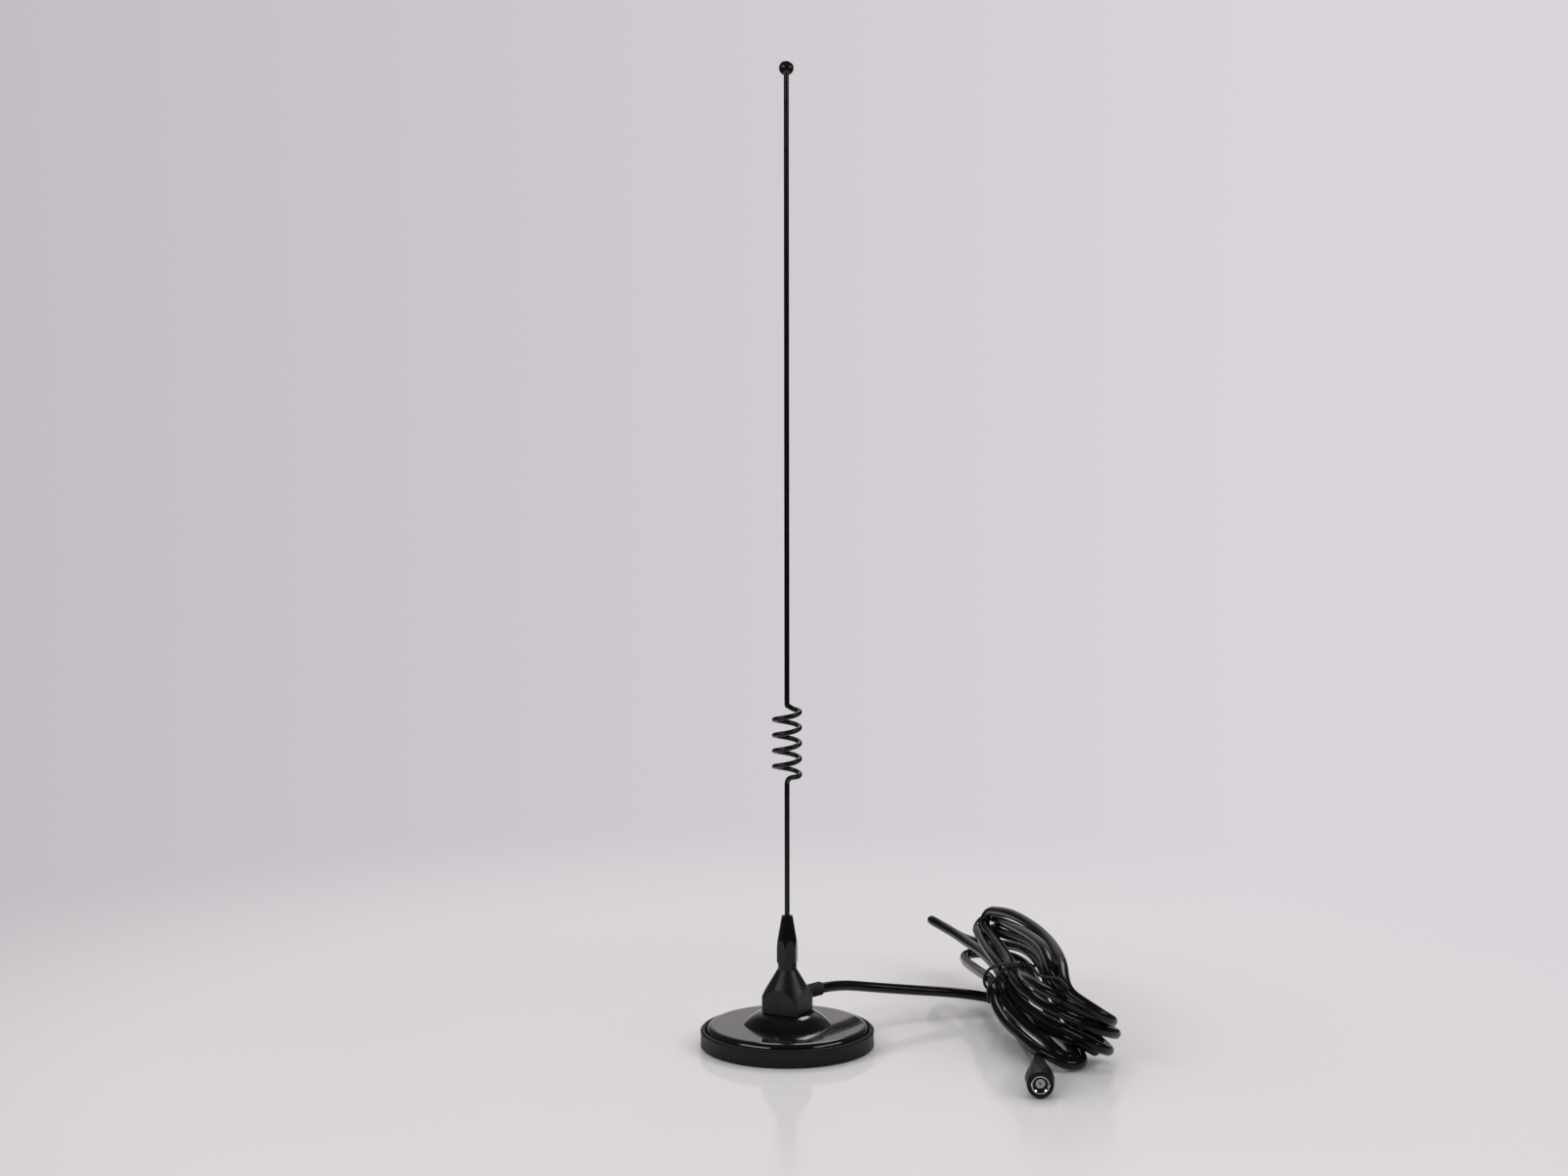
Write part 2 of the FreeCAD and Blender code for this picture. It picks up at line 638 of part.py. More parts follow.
def crimp_ferrule():
    """The crimped ferrule on the stem and the cable's jacket."""
    ferrule = cylinder(crimp_diameter / 2, flange_back, crimp_length)
    ferrule = ferrule.cut(cylinder(stem_diameter / 2, flange_back, stem_length))
    return along_connector(ferrule.cut(cylinder(cable_diameter / 2, stem_end, crimp_length - stem_length)))


def cord_tube(points, diameter):
    """A round tube along straight runs with a tangent arc at each inner point."""
    corners = [V(*p) for p in points]
    runs = [b - a for a, b in zip(corners, corners[1:])]
    edges = []
    radii = []
    last = corners[0]
    for corner, before, after in zip(corners[1:], runs, runs[1:]):
        set_back = 0.45 * min(before.Length, after.Length)
        inward = after / after.Length - before / before.Length
        radius = set_back / math.tan(before.getAngle(after) / 2)
        start = corner - before * (set_back / before.Length)
        end = corner + after * (set_back / after.Length)
        reach = math.hypot(radius, set_back)
        middle = corner + inward * ((reach - radius) / inward.Length)
        edges.append(Part.LineSegment(last, start).toShape())
        edges.append(Part.Arc(start, middle, end).toShape())
        radii.append(radius)
        last = end
    edges.append(Part.LineSegment(last, corners[-1]).toShape())
    path = Part.Wire(edges)
    length = path.Length
    section = Part.Wire(Part.makeCircle(diameter / 2, corners[0], runs[0]))
    solid = path.makePipeShell([section], True, False)
    filled = solid.Volume / (math.pi * diameter ** 2 / 4 * length)
    print("  cord", round(length, 1), "mm, smallest bend", round(min(radii), 1), "mm, filled",
          round(filled, 4))
    return solid


def coax_lead():
    """The cable from the strain relief to the hank."""
    start, way = relief_end()
    return cord_tube([start, start + way * lead_first_run] + lead_route, cable_diameter)


def coax_tail():
    """The cable from the hank, along the floor and up into the connector."""
    rear = connector_place(stem_end + tail_last_run)
    return cord_tube(tail_route + [rear, connector_place(stem_end)], cable_diameter)


def bundle_section(place, x, z, long, thick, lean):
    """An oval across the bundle, leaning to the right as it rises."""
    oval = Part.Wire(Part.Ellipse(V(), long / 2, thick / 2).toShape())
    oval.rotate(V(), V(1, 0, 0), 90)
    oval.rotate(V(), V(0, 1, 0), -lean)
    oval.translate(V(x, place, z))
    return oval


def coax_hank():
    """The coiled cable: a bundle of strands at the front with loops behind and above it."""
    hank = Part.makeLoft([bundle_section(*row) for row in bundle_sections], True)
    hank = hank.fuse(cord_tube(top_loop, top_loop_diameter))
    hank = hank.fuse(cord_tube(inner_loop, inner_loop_diameter))
    hank = hank.fuse(cord_tube(front_strand, front_strand_diameter))
    hank = hank.fuse(cord_tube(long_loop, cable_diameter))
    return hank.fuse(cord_tube(short_loop, cable_diameter))


def twist_tie():
    """A coated wire round the hank with a twisted knot."""
    knot = Part.makeCylinder(tie_knot_diameter / 2, tie_knot_length, V(*tie_knot), V(*tie_knot_way))
    return cord_tube(tie_route, tie_diameter).fuse(knot)


def main():
    """Builds each piece and writes it to its own file."""
    os.makedirs("parts", exist_ok=True)
    pieces = [
        rubber_boot, base_cover, ring_magnet, pole_plate, hub_housing, hub_insert, ground_lug,
        fixing_screw, lock_washer, threaded_socket, whip_ferrule, whip_rod, tip_ball, strain_relief,
        cable_entry, core_insulation, centre_conductor, braid_pigtail, coax_lead, coax_hank, coax_tail,
        twist_tie, coupling_nut, grip_sleeve, connector_body, connector_insulator, connector_pin,
        retaining_ring, crimp_ferrule,
    ]
    for piece in pieces:
        shape = piece()
        print(piece.__name__, shape.isValid(), len(shape.Solids), round(shape.Volume, 2))
        shape.exportStep("parts/" + piece.__name__ + ".step")


main()
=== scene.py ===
"""Looks of a magnetic car antenna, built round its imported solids.

It lays the cable, winds the twist tie and the nut's thread, gives every solid its finish and sets the stage.
Metres, +Z up, in the frame of the solids. The routes are in millimetres and are turned into metres once.
"""

import math

import bpy
from mathutils import Euler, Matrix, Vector


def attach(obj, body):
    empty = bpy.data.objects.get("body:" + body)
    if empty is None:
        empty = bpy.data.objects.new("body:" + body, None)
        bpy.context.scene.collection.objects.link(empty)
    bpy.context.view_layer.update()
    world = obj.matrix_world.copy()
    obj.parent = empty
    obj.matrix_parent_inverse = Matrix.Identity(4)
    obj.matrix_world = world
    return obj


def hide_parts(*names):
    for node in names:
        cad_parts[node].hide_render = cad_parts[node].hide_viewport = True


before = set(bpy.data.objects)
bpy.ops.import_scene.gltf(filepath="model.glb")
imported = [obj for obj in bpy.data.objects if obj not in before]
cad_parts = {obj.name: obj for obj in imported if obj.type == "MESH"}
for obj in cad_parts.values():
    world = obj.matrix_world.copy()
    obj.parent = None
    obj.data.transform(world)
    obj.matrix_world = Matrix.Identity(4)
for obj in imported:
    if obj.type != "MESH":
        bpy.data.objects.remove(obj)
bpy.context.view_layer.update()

bl_info = {
    "name": "Magnetic Car Antenna",
    "version": (1, 0, 0),
    "blender": (4, 5, 0),
    "location": "View3D > Sidebar > Antenna",
    "description": "Cable, tie, thread, finishes and stage of a magnetic car antenna",
    "category": "Object",
}

MM = 0.001

# The cable from the strain relief, past the base and along the floor to the coil
LEAD = [(15.8, 23, 21.3), (24.7, 31, 21.2), (42, 43, 16.8), (62, 53, 12.9), (84, 58.5, 10.2),
        (104, 59, 7.2), (117, 49, 3.4), (126, 30, 2.7), (131.5, 10, 2.7), (134.5, -10, 2.7)]

# Each turn of the coil: the front fold and the strand up to the tie, the back fold, and the run over the top
COIL_TURNS = [
    {"strand": [(135.5, -27, 2.7), (134.5, -41, 2.6), (127, -47.5, 3.5), (120, -45, 6.5),
                (113, -38, 9), (107.5, -23, 11), (103.5, -9, 12), (100.5, 1, 15), (99, 10, 18),
                (99.3, 19, 22.5), (99, 32, 24), (96.5, 52, 21.5), (94, 78, 18.5), (92.5, 97, 16)],
     "fold": [(92.3, 115.7, 15.6), (98.8, 119.5, 16), (105.3, 115.7, 16.4)],
     "top": [(106, 97, 19.3), (111.5, 77, 24.6), (116.5, 57, 26.7), (119.5, 38, 26.7),
             (119, 18, 25.8), (119.5, 3, 24.3)]},
    {"strand": [(122, -9, 19), (127, -19, 12), (130.5, -28, 6.6), (132, -38, 4.6),
                (126, -42.5, 5.6), (121, -35, 8.8), (118, -25, 10.5), (114, -17, 12),
                (110.5, -8, 13.5), (107, 0, 16), (104.5, 7, 18.5), (103.4, 14, 22), (103.9, 24, 25),
                (103.5, 40, 26.4), (101, 64, 26), (98, 84, 25.5), (93.5, 104, 25), (88, 124, 25.5),
                (82.5, 139, 26)],
     "fold": [(77.2, 149.5, 27.3), (79.5, 155.5, 24.6), (86.2, 154.5, 21.3)],
     "top": [(90.2, 144, 20.6), (93.2, 132, 21.2), (97, 120, 22.2), (100.8, 108, 24),
             (106.5, 95, 26), (111.5, 81, 29.3), (115.5, 62, 32.7), (118.5, 40, 35.2),
             (120.5, 18, 35.8), (121.5, 1, 35), (122.5, -7, 30.5), (126, -11, 24)]},
    {"strand": [(130.5, -15, 16.5), (136, -18.5, 9.5), (140.5, -23.5, 5.5), (142, -30.5, 5),
                (138, -34.5, 8.2), (131, -33.5, 11.2), (126.5, -29, 12.2), (122, -23, 12.6),
                (118.5, -15, 13.4), (116, -4, 14.6), (113, 6, 17.4), (110.8, 14, 21),
                (110, 24, 24.2), (109.4, 38, 26.5), (108.5, 54, 27.5), (106, 69, 28.3)],
     "fold": [(104.5, 80, 28.6), (103, 92, 28), (104, 96.5, 31.8), (105.8, 92.5, 35.6)],
     "top": [(108.2, 77, 36), (112.3, 57, 39), (116, 38, 41.4), (118.6, 19, 43), (120.4, 1, 43.3),
             (120.6, -13, 41.6), (120, -22, 39), (121.5, -27, 35), (126, -28, 28.6)]},
    {"strand": [(132.5, -25, 20.5), (139, -22, 13), (145.5, -23.5, 7), (148.5, -32, 5.5),
                (142.5, -41, 9.5), (136.5, -40, 12.8), (132, -37, 14.6), (127.5, -33, 16),
                (122.5, -27, 17.3), (118.5, -20, 18.2), (115, -11, 18.4), (111.3, -2, 19.6),
                (108.2, 6, 21.2), (106.8, 13, 24.6), (105.6, 21, 27.6), (103.8, 30, 29.8),
                (102.2, 41, 30.8), (100.3, 58, 31.4), (99, 77, 32), (98.4, 91, 32.8)],
     "fold": [(98, 101.5, 33), (101.2, 105, 36.4), (105.4, 102, 39.4)],
     "top": [(107.4, 91, 39.8), (109.2, 72, 42.4), (112, 52, 44.7), (114.8, 32, 46.8),
             (117.6, 13, 48.1), (119.8, -6, 48.8), (120.6, -17, 47.2), (121.2, -27, 44.6),
             (122.4, -31.5, 40.8), (125, -32.5, 36.6)]},
    {"strand": [(129, -31, 32), (135.5, -29, 24.5), (142.5, -26.5, 18), (148.5, -28, 14.5),
                (151, -36, 14.5), (144, -45, 18.5), (137, -44.5, 20.5), (131.5, -42, 22.5),
                (126.5, -38, 24), (121.5, -32, 25.5), (116.5, -24, 26.5), (112.5, -14, 28),
                (109, -4, 29), (107.5, 6, 30.4), (107.3, 18, 32.3), (107.8, 31, 33.4),
                (106.6, 46, 33.8), (105, 61, 34.6), (103.8, 76, 35.4)],
     "fold": [(101.4, 89, 36.2), (101.3, 93, 40.2), (103.8, 91, 44.3)],
     "top": [(107.2, 80, 46.5), (111, 67, 48.4), (114.7, 54, 49.1), (117.9, 41, 49.2),
             (120.9, 27, 49.1), (123.4, 13, 48.5), (125.4, -3, 47.6), (126.1, -20, 46.6),
             (126.2, -31, 44.6), (125.6, -39, 42.2), (125.8, -46, 39.4)]},
    {"strand": [(128, -50.5, 36.6), (131.5, -53, 34.5), (135.5, -55.5, 32.3), (143.3, -56.5, 27.3),
                (147.2, -49, 24), (143.3, -42, 22.8), (136.5, -42, 25.8), (127.5, -44.5, 31),
                (122.5, -44, 34), (117.5, -40, 36), (113, -31, 37), (110.5, -19, 36.6),
                (110.2, -4, 34.9), (111, 11, 33.4), (112.8, 32, 30)],
     "fold": [], "top": []},
]

# The cable from the tie, down behind the coil and along the floor into the connector
TAIL = [(113.5, 48, 25), (111.5, 62, 20), (111.5, 76, 16.5), (114, 84, 14.5), (119, 82.5, 12),
        (120, 70, 11.2), (115.5, 55, 11.6), (110.5, 43, 10.5), (108, 30, 8), (108.6, 16, 5),
        (110.8, 0, 2.9), (112.6, -18, 2.7), (113.1, -36, 3), (112.9, -48.7, 7.2),
        (111.1, -70.4, 6.8)]

# The coated wire of the tie: round the strands to the knot, a second turn, and the loose end
TIE_BAND = [(101, 30, 17), (96.5, 31, 19), (95.4, 31.5, 24), (97.7, 31.5, 28.6), (102.5, 25, 32.5),
            (106, 15, 35.2), (109, 8, 36.8), (111.5, 4, 37.3)]
TIE_SECOND = [(113, 3, 37.1), (107.5, 12, 35.6), (104, 15, 32.8), (100.6, 16.5, 28.2),
              (97.2, 16.5, 24.5), (95.5, 15, 21), (96.8, 13, 16.5)]
TIE_END = [(114.8, 2.4, 37), (116.6, -4, 36.4), (117, -12, 36.6), (117.8, -22, 37.9),
           (119.4, -31, 39.8), (121.8, -41, 42), (124, -47, 42.2), (126.3, -51.5, 39.6)]
KNOT_FOOT = (109.6, 4.4, 37.2)
KNOT_WAY = (5, -2, -0.5)

# The middle of the nut's mouth and the way back along the connector
NUT_MOUTH = (109.7, -88.5, 6.4)
CONNECTOR_BACK = (0.0797, 0.9966, 0.02)

# How far the thread starts inside the mouth and sits off the wall, in metres, and its ridge per pitch
THREAD_START = 0.0011
THREAD_INSET = 0.00004
THREAD_RIDGE_SHARE = 0.42

# The radius of the knot's twist as a share of the wire's diameter
KNOT_RADIUS_SHARE = 0.55

# How finely the lines are cut, and how many sides a wire and a ridge have
CABLE_STEPS = 8
TIE_STEPS = 10
KNOT_STEPS = 24
THREAD_STEPS = 40
BEVEL_STEPS = 5
WIRE_SIDES = 10
RIDGE_SIDES = 6

# The finishes: where mottle, scuffs and specks start and end in their noise, and how scuffs bend and stretch
MOTTLE_REACH = (0.3, 0.7)
SCUFF_REACH = (0.60, 0.72)
SPECK_REACH = (0.80, 0.95)
SCUFF_BEND_SCALE = 45
SCUFF_BEND = (0.02, 0.02, 0.02)
SCUFF_STRETCH = (6.0, 1.0, 3.0)
COAT_ROUGHNESS = 0.04

# The camera's place in metres, its tilt and roll in degrees, its shift, and its sensor's width in millimetres
CAMERA_PLACE = (0, -1.040, 0.288)
CAMERA_TILT = 86.07
CAMERA_ROLL = 0.06
CAMERA_SHIFT = -0.0017
SENSOR_WIDTH = 36

# The floor's radius and corners, and over what distance it turns matt and fades into the backdrop
FLOOR_RADIUS = 0.9
FLOOR_CORNERS = 64
FLOOR_SPECULAR = 0.25
FLOOR_MATT_REACH = (0.1, 0.34)
FLOOR_ROUGHNESS = (0.1, 0.5)
FLOOR_FADE_REACH = (0.22, 0.62)

# Each lamp's place, the point that it is aimed at, and its size
SOFTBOXES = {
    "left": ((-0.95, -0.75, 0.85), (0, 0, 0.15), (1.1, 0.28)),
    "right": ((1.0, -0.45, 0.75), (0.05, 0, 0.12), (1.0, 0.24)),
    "top": ((0.15, 0.95, 1.15), (0.03, 0, 0), (0.7, 0.5)),
}

# The room by direction: a reach along an axis, and the strength at its two ends
BACKDROP_REACH = (-0.38, 0.2)
MIRRORED_BACK = ((-0.35, 0.6), (0.02, 0.75))
MIRRORED_SIDE = ((0.12, 0.5), (1.0, 0.15))
MIRRORED_OVERHEAD = ((0.3, 0.85), (1.0, 0.12))
LIGHT_BACK_REACH = (-0.6, 0.6)
LIGHT_FRONT_SHARE = 0.5
LIGHT_ABOVE = ((0.1, 0.7), (0.3, 1.0))
LIGHT_COLOUR = (1, 0.985, 0.995, 1)


class AntennaCable(bpy.types.PropertyGroup):
    """Sizes of the cable and of the tie round it."""
    cable_diameter: bpy.props.FloatProperty(
        name="Cable diameter", description="Outside diameter of the coaxial cable",
        default=0.005, min=0.003, max=0.008, unit="LENGTH")
    cable_length: bpy.props.FloatProperty(
        name="Cable length", description="Length of the cable from the strain relief to the connector",
        default=2.36, min=0.5, max=6.0, unit="LENGTH")
    tie_diameter: bpy.props.FloatProperty(
        name="Tie wire diameter", description="Outside diameter of the coated tie wire",
        default=0.0015, min=0.0005, max=0.003, unit="LENGTH")
    knot_length: bpy.props.FloatProperty(
        name="Knot length", description="Length of the twisted knot of the tie",
        default=0.0078, min=0.002, max=0.02, unit="LENGTH")
    knot_turns: bpy.props.FloatProperty(
        name="Knot turns", description="Turns of the two wire ends round each other",
        default=2.3, min=0.5, max=6.0)


class AntennaThread(bpy.types.PropertyGroup):
    """Sizes of the thread in the connector's nut."""
    bore: bpy.props.FloatProperty(
        name="Thread diameter", description="Diameter at the root of the nut's thread",
        default=0.006, min=0.003, max=0.012, unit="LENGTH")
    pitch: bpy.props.FloatProperty(
        name="Pitch", description="Rise of the nut's thread in one turn",
        default=0.0007, min=0.0003, max=0.002, unit="LENGTH")
    depth: bpy.props.FloatProperty(
        name="Depth", description="Length of the thread into the nut",
        default=0.0042, min=0.001, max=0.01, unit="LENGTH")


class AntennaFinish(bpy.types.PropertyGroup):
    """Colours of the finishes."""
    paint: bpy.props.FloatVectorProperty(
        name="Cover paint", description="Gloss paint of the base cover", subtype="COLOR", size=4,
        default=(0.006, 0.0058, 0.0063, 1), min=0, max=1)
    rubber: bpy.props.FloatVectorProperty(
        name="Rubber", description="Rubber of the boot and the strain relief", subtype="COLOR", size=4,
        default=(0.011, 0.011, 0.0117, 1), min=0, max=1)
    plastic: bpy.props.FloatVectorProperty(
        name="Moulded plastic", description="Plastic of the hub, the ball and the connector's sleeve",
        subtype="COLOR", size=4, default=(0.0093, 0.0099, 0.0103, 1), min=0, max=1)
    jacket: bpy.props.FloatVectorProperty(
        name="Cable jacket", description="Soft plastic of the cable", subtype="COLOR", size=4,
        default=(0.006, 0.0058, 0.0063, 1), min=0, max=1)
    coating: bpy.props.FloatVectorProperty(
        name="Whip coating", description="Coating of the whip and its ferrule", subtype="COLOR", size=4,
        default=(0.0055, 0.0055, 0.0058, 1), min=0, max=1)
    nickel: bpy.props.FloatVectorProperty(
        name="Nickel plate", description="Plating of the nut and the ferrule", subtype="COLOR", size=4,
        default=(0.66, 0.65, 0.62, 1), min=0, max=1)
    # Painted shade: the nickel of the connector's body and of the nut's thread is darkened to stand for the
    # shade in the recess behind the nut's mouth.
    painted_shade_nickel: bpy.props.FloatVectorProperty(
        name="Nickel with painted shade", description="Nickel darkened to paint the shade on the connector's body and thread",
        subtype="COLOR", size=4, default=(0.06, 0.058, 0.055, 1), min=0, max=1)
    # Painted shade: the brass is darkened far below bright brass, so that the pin deep in the insulator reads
    # as a dark dot.
    brass: bpy.props.FloatVectorProperty(
        name="Brass", description="Brass of the pin and the insert", subtype="COLOR", size=4,
        default=(0.22, 0.18, 0.12, 1), min=0, max=1)
    steel: bpy.props.FloatVectorProperty(
        name="Steel", description="Zinc-plated steel of the pole plate and the screw",
        subtype="COLOR", size=4, default=(0.50, 0.50, 0.52, 1), min=0, max=1)
    ferrite: bpy.props.FloatVectorProperty(
        name="Ferrite", description="Ground ferrite of the magnet", subtype="COLOR", size=4,
        default=(0.045, 0.045, 0.05, 1), min=0, max=1)
    insulator: bpy.props.FloatVectorProperty(
        name="Insulator", description="White plastic round the pin", subtype="COLOR", size=4,
        default=(0.62, 0.61, 0.59, 1), min=0, max=1)


class AntennaStage(bpy.types.PropertyGroup):
    """Floor, light and camera."""
    floor_colour: bpy.props.FloatVectorProperty(
        name="Floor", description="Colour of the floor", subtype="COLOR", size=4,
        default=(0.755, 0.735, 0.75, 1), min=0, max=1)
    backdrop_left: bpy.props.FloatVectorProperty(
        name="Backdrop left", description="Colour of the backdrop on the left", subtype="COLOR", size=4,
        default=(0.535, 0.50, 0.53, 1), min=0, max=1)
    backdrop_right: bpy.props.FloatVectorProperty(
        name="Backdrop right", description="Colour of the backdrop on the right", subtype="COLOR", size=4,
        default=(0.70, 0.66, 0.705, 1), min=0, max=1)
    sky_light: bpy.props.FloatProperty(
        name="Room light", description="Strength of the soft light of the room", default=1.07, min=0, max=2)
    left_lamp: bpy.props.FloatProperty(
        name="Left softbox", description="Power of the long lamp on the left",
        default=4.6, min=0, max=50, unit="POWER")
    right_lamp: bpy.props.FloatProperty(
        name="Right softbox", description="Power of the long lamp on the right",
        default=2.6, min=0, max=50, unit="POWER")
    top_lamp: bpy.props.FloatProperty(
        name="Top softbox", description="Power of the lamp above and behind the antenna",
        default=3.5, min=0, max=50, unit="POWER")
    lens: bpy.props.FloatProperty(
        name="Lens", description="Focal length of the camera in millimetres", default=51.32, min=10, max=200)


def metres(points):
    """A route in metres."""
    return [Vector(p) * MM for p in points]


def node_link(tree, start, end):
    """Joins two sockets."""
    tree.links.new(start, end)


def new_node(tree, kind, **values):
    """A node with its plain properties set."""
    node = tree.nodes.new(kind)
    for name, value in values.items():
        setattr(node, name, value)
    return node


def ramp(tree, value, reach, ends=(0.0, 1.0), kind="LINEAR"):
    """A value that goes from one end to the other over a reach, and stays at the ends outside it."""
    node = new_node(tree, "ShaderNodeMapRange", interpolation_type=kind)
    node.inputs["From Min"].default_value, node.inputs["From Max"].default_value = reach
    node.inputs["To Min"].default_value, node.inputs["To Max"].default_value = ends
    node_link(tree, value, node.inputs["Value"])
    return node.outputs["Result"]


def falloff(tree, value, reach, ends=(0.0, 1.0)):
    """A ramp with soft ends."""
    return ramp(tree, value, reach, ends, "SMOOTHSTEP")


def combined(tree, operation, first, second):
    """What a math node makes of two sockets."""
    node = new_node(tree, "ShaderNodeMath", operation=operation)
    node_link(tree, first, node.inputs[0])
    node_link(tree, second, node.inputs[1])
    return node.outputs[0]


def weighted(tree, value, weight, base=None):
    """A socket's value times a weight, added to a second socket where one is given."""
    node = new_node(tree, "ShaderNodeMath", operation="MULTIPLY" if base is None else "MULTIPLY_ADD")
    node.inputs[1].default_value = weight
    node_link(tree, value, node.inputs[0])
    if base is not None:
        node_link(tree, base, node.inputs[2])
    return node.outputs[0]


def noise(tree, vector, scale, detail=2.0, roughness=0.5):
    """A noise texture whose scale comes from a socket."""
    node = new_node(tree, "ShaderNodeTexNoise")
    node.inputs["Detail"].default_value = detail
    node.inputs["Roughness"].default_value = roughness
    node_link(tree, vector, node.inputs["Vector"])
    node_link(tree, scale, node.inputs["Scale"])
    return node.outputs["Fac"]


def shader_group(name, inputs, outputs):
    """An empty shader group for a vector and values, with its start and end nodes."""
    tree = bpy.data.node_groups.new(name, "ShaderNodeTree")
    tree.interface.new_socket("Vector", in_out="INPUT", socket_type="NodeSocketVector")
    for label, default in inputs:
        socket = tree.interface.new_socket(label, in_out="INPUT", socket_type="NodeSocketFloat")
        socket.default_value = default
    for label in outputs:
        tree.interface.new_socket(label, in_out="OUTPUT", socket_type="NodeSocketFloat")
    return tree, new_node(tree, "NodeGroupInput").outputs, new_node(tree, "NodeGroupOutput").inputs


def bare_material(name):
    """A material with a Principled shader and an output, which aren't joined yet."""
    material = bpy.data.materials.new(name)
    material.use_nodes = True
    tree = material.node_tree
    tree.nodes.clear()
    output = new_node(tree, "ShaderNodeOutputMaterial")
    return material, tree, new_node(tree, "ShaderNodeBsdfPrincipled"), output.inputs["Surface"]


def surface_grain():
    """Shader group: fine grain, broad mottle and a height from them, on a given vector."""
    tree = bpy.data.node_groups.get("Surface Grain")
    if tree:
        return tree
    tree, given, made = shader_group(
        "Surface Grain",
        (("Grain Scale", 2500.0), ("Mottle Scale", 120.0), ("Peel Scale", 500.0), ("Peel", 0.0)),
        ("Grain", "Mottle", "Height"))
    grain = noise(tree, given["Vector"], given["Grain Scale"], detail=3)
    mottle = noise(tree, given["Vector"], given["Mottle Scale"], detail=5, roughness=0.62)
    peel = noise(tree, given["Vector"], given["Peel Scale"], detail=1)
    waves = combined(tree, "MULTIPLY", peel, given["Peel"])
    node_link(tree, grain, made["Grain"])
    node_link(tree, mottle, made["Mottle"])
    node_link(tree, combined(tree, "ADD", grain, waves), made["Height"])
    return tree


def handling_marks():
    """Shader group: thin scuffs and scattered dust specks as two masks."""
    tree = bpy.data.node_groups.get("Handling Marks")
    if tree:
        return tree
    tree, given, made = shader_group(
        "Handling Marks", (("Scuff Scale", 60.0), ("Speck Scale", 900.0), ("Speck Size", 0.16)),
        ("Scuffs", "Specks"))
    bend = new_node(tree, "ShaderNodeTexNoise")
    bend.inputs["Scale"].default_value = SCUFF_BEND_SCALE
    node_link(tree, given["Vector"], bend.inputs["Vector"])
    shift = new_node(tree, "ShaderNodeVectorMath", operation="MULTIPLY_ADD")
    shift.inputs[1].default_value = SCUFF_BEND
    node_link(tree, bend.outputs["Color"], shift.inputs[0])
    node_link(tree, given["Vector"], shift.inputs[2])
    stretch = new_node(tree, "ShaderNodeVectorMath", operation="MULTIPLY")
    stretch.inputs[1].default_value = SCUFF_STRETCH
    node_link(tree, shift.outputs[0], stretch.inputs[0])
    lines = noise(tree, stretch.outputs[0], given["Scuff Scale"], detail=6)
    cells = new_node(tree, "ShaderNodeTexVoronoi")
    node_link(tree, given["Vector"], cells.inputs["Vector"])
    node_link(tree, given["Speck Scale"], cells.inputs["Scale"])
    near = combined(tree, "LESS_THAN", cells.outputs["Distance"], given["Speck Size"])
    some = ramp(tree, cells.outputs["Color"], SPECK_REACH)
    node_link(tree, ramp(tree, lines, SCUFF_REACH), made["Scuffs"])
    node_link(tree, combined(tree, "MULTIPLY", near, some), made["Specks"])
    return tree


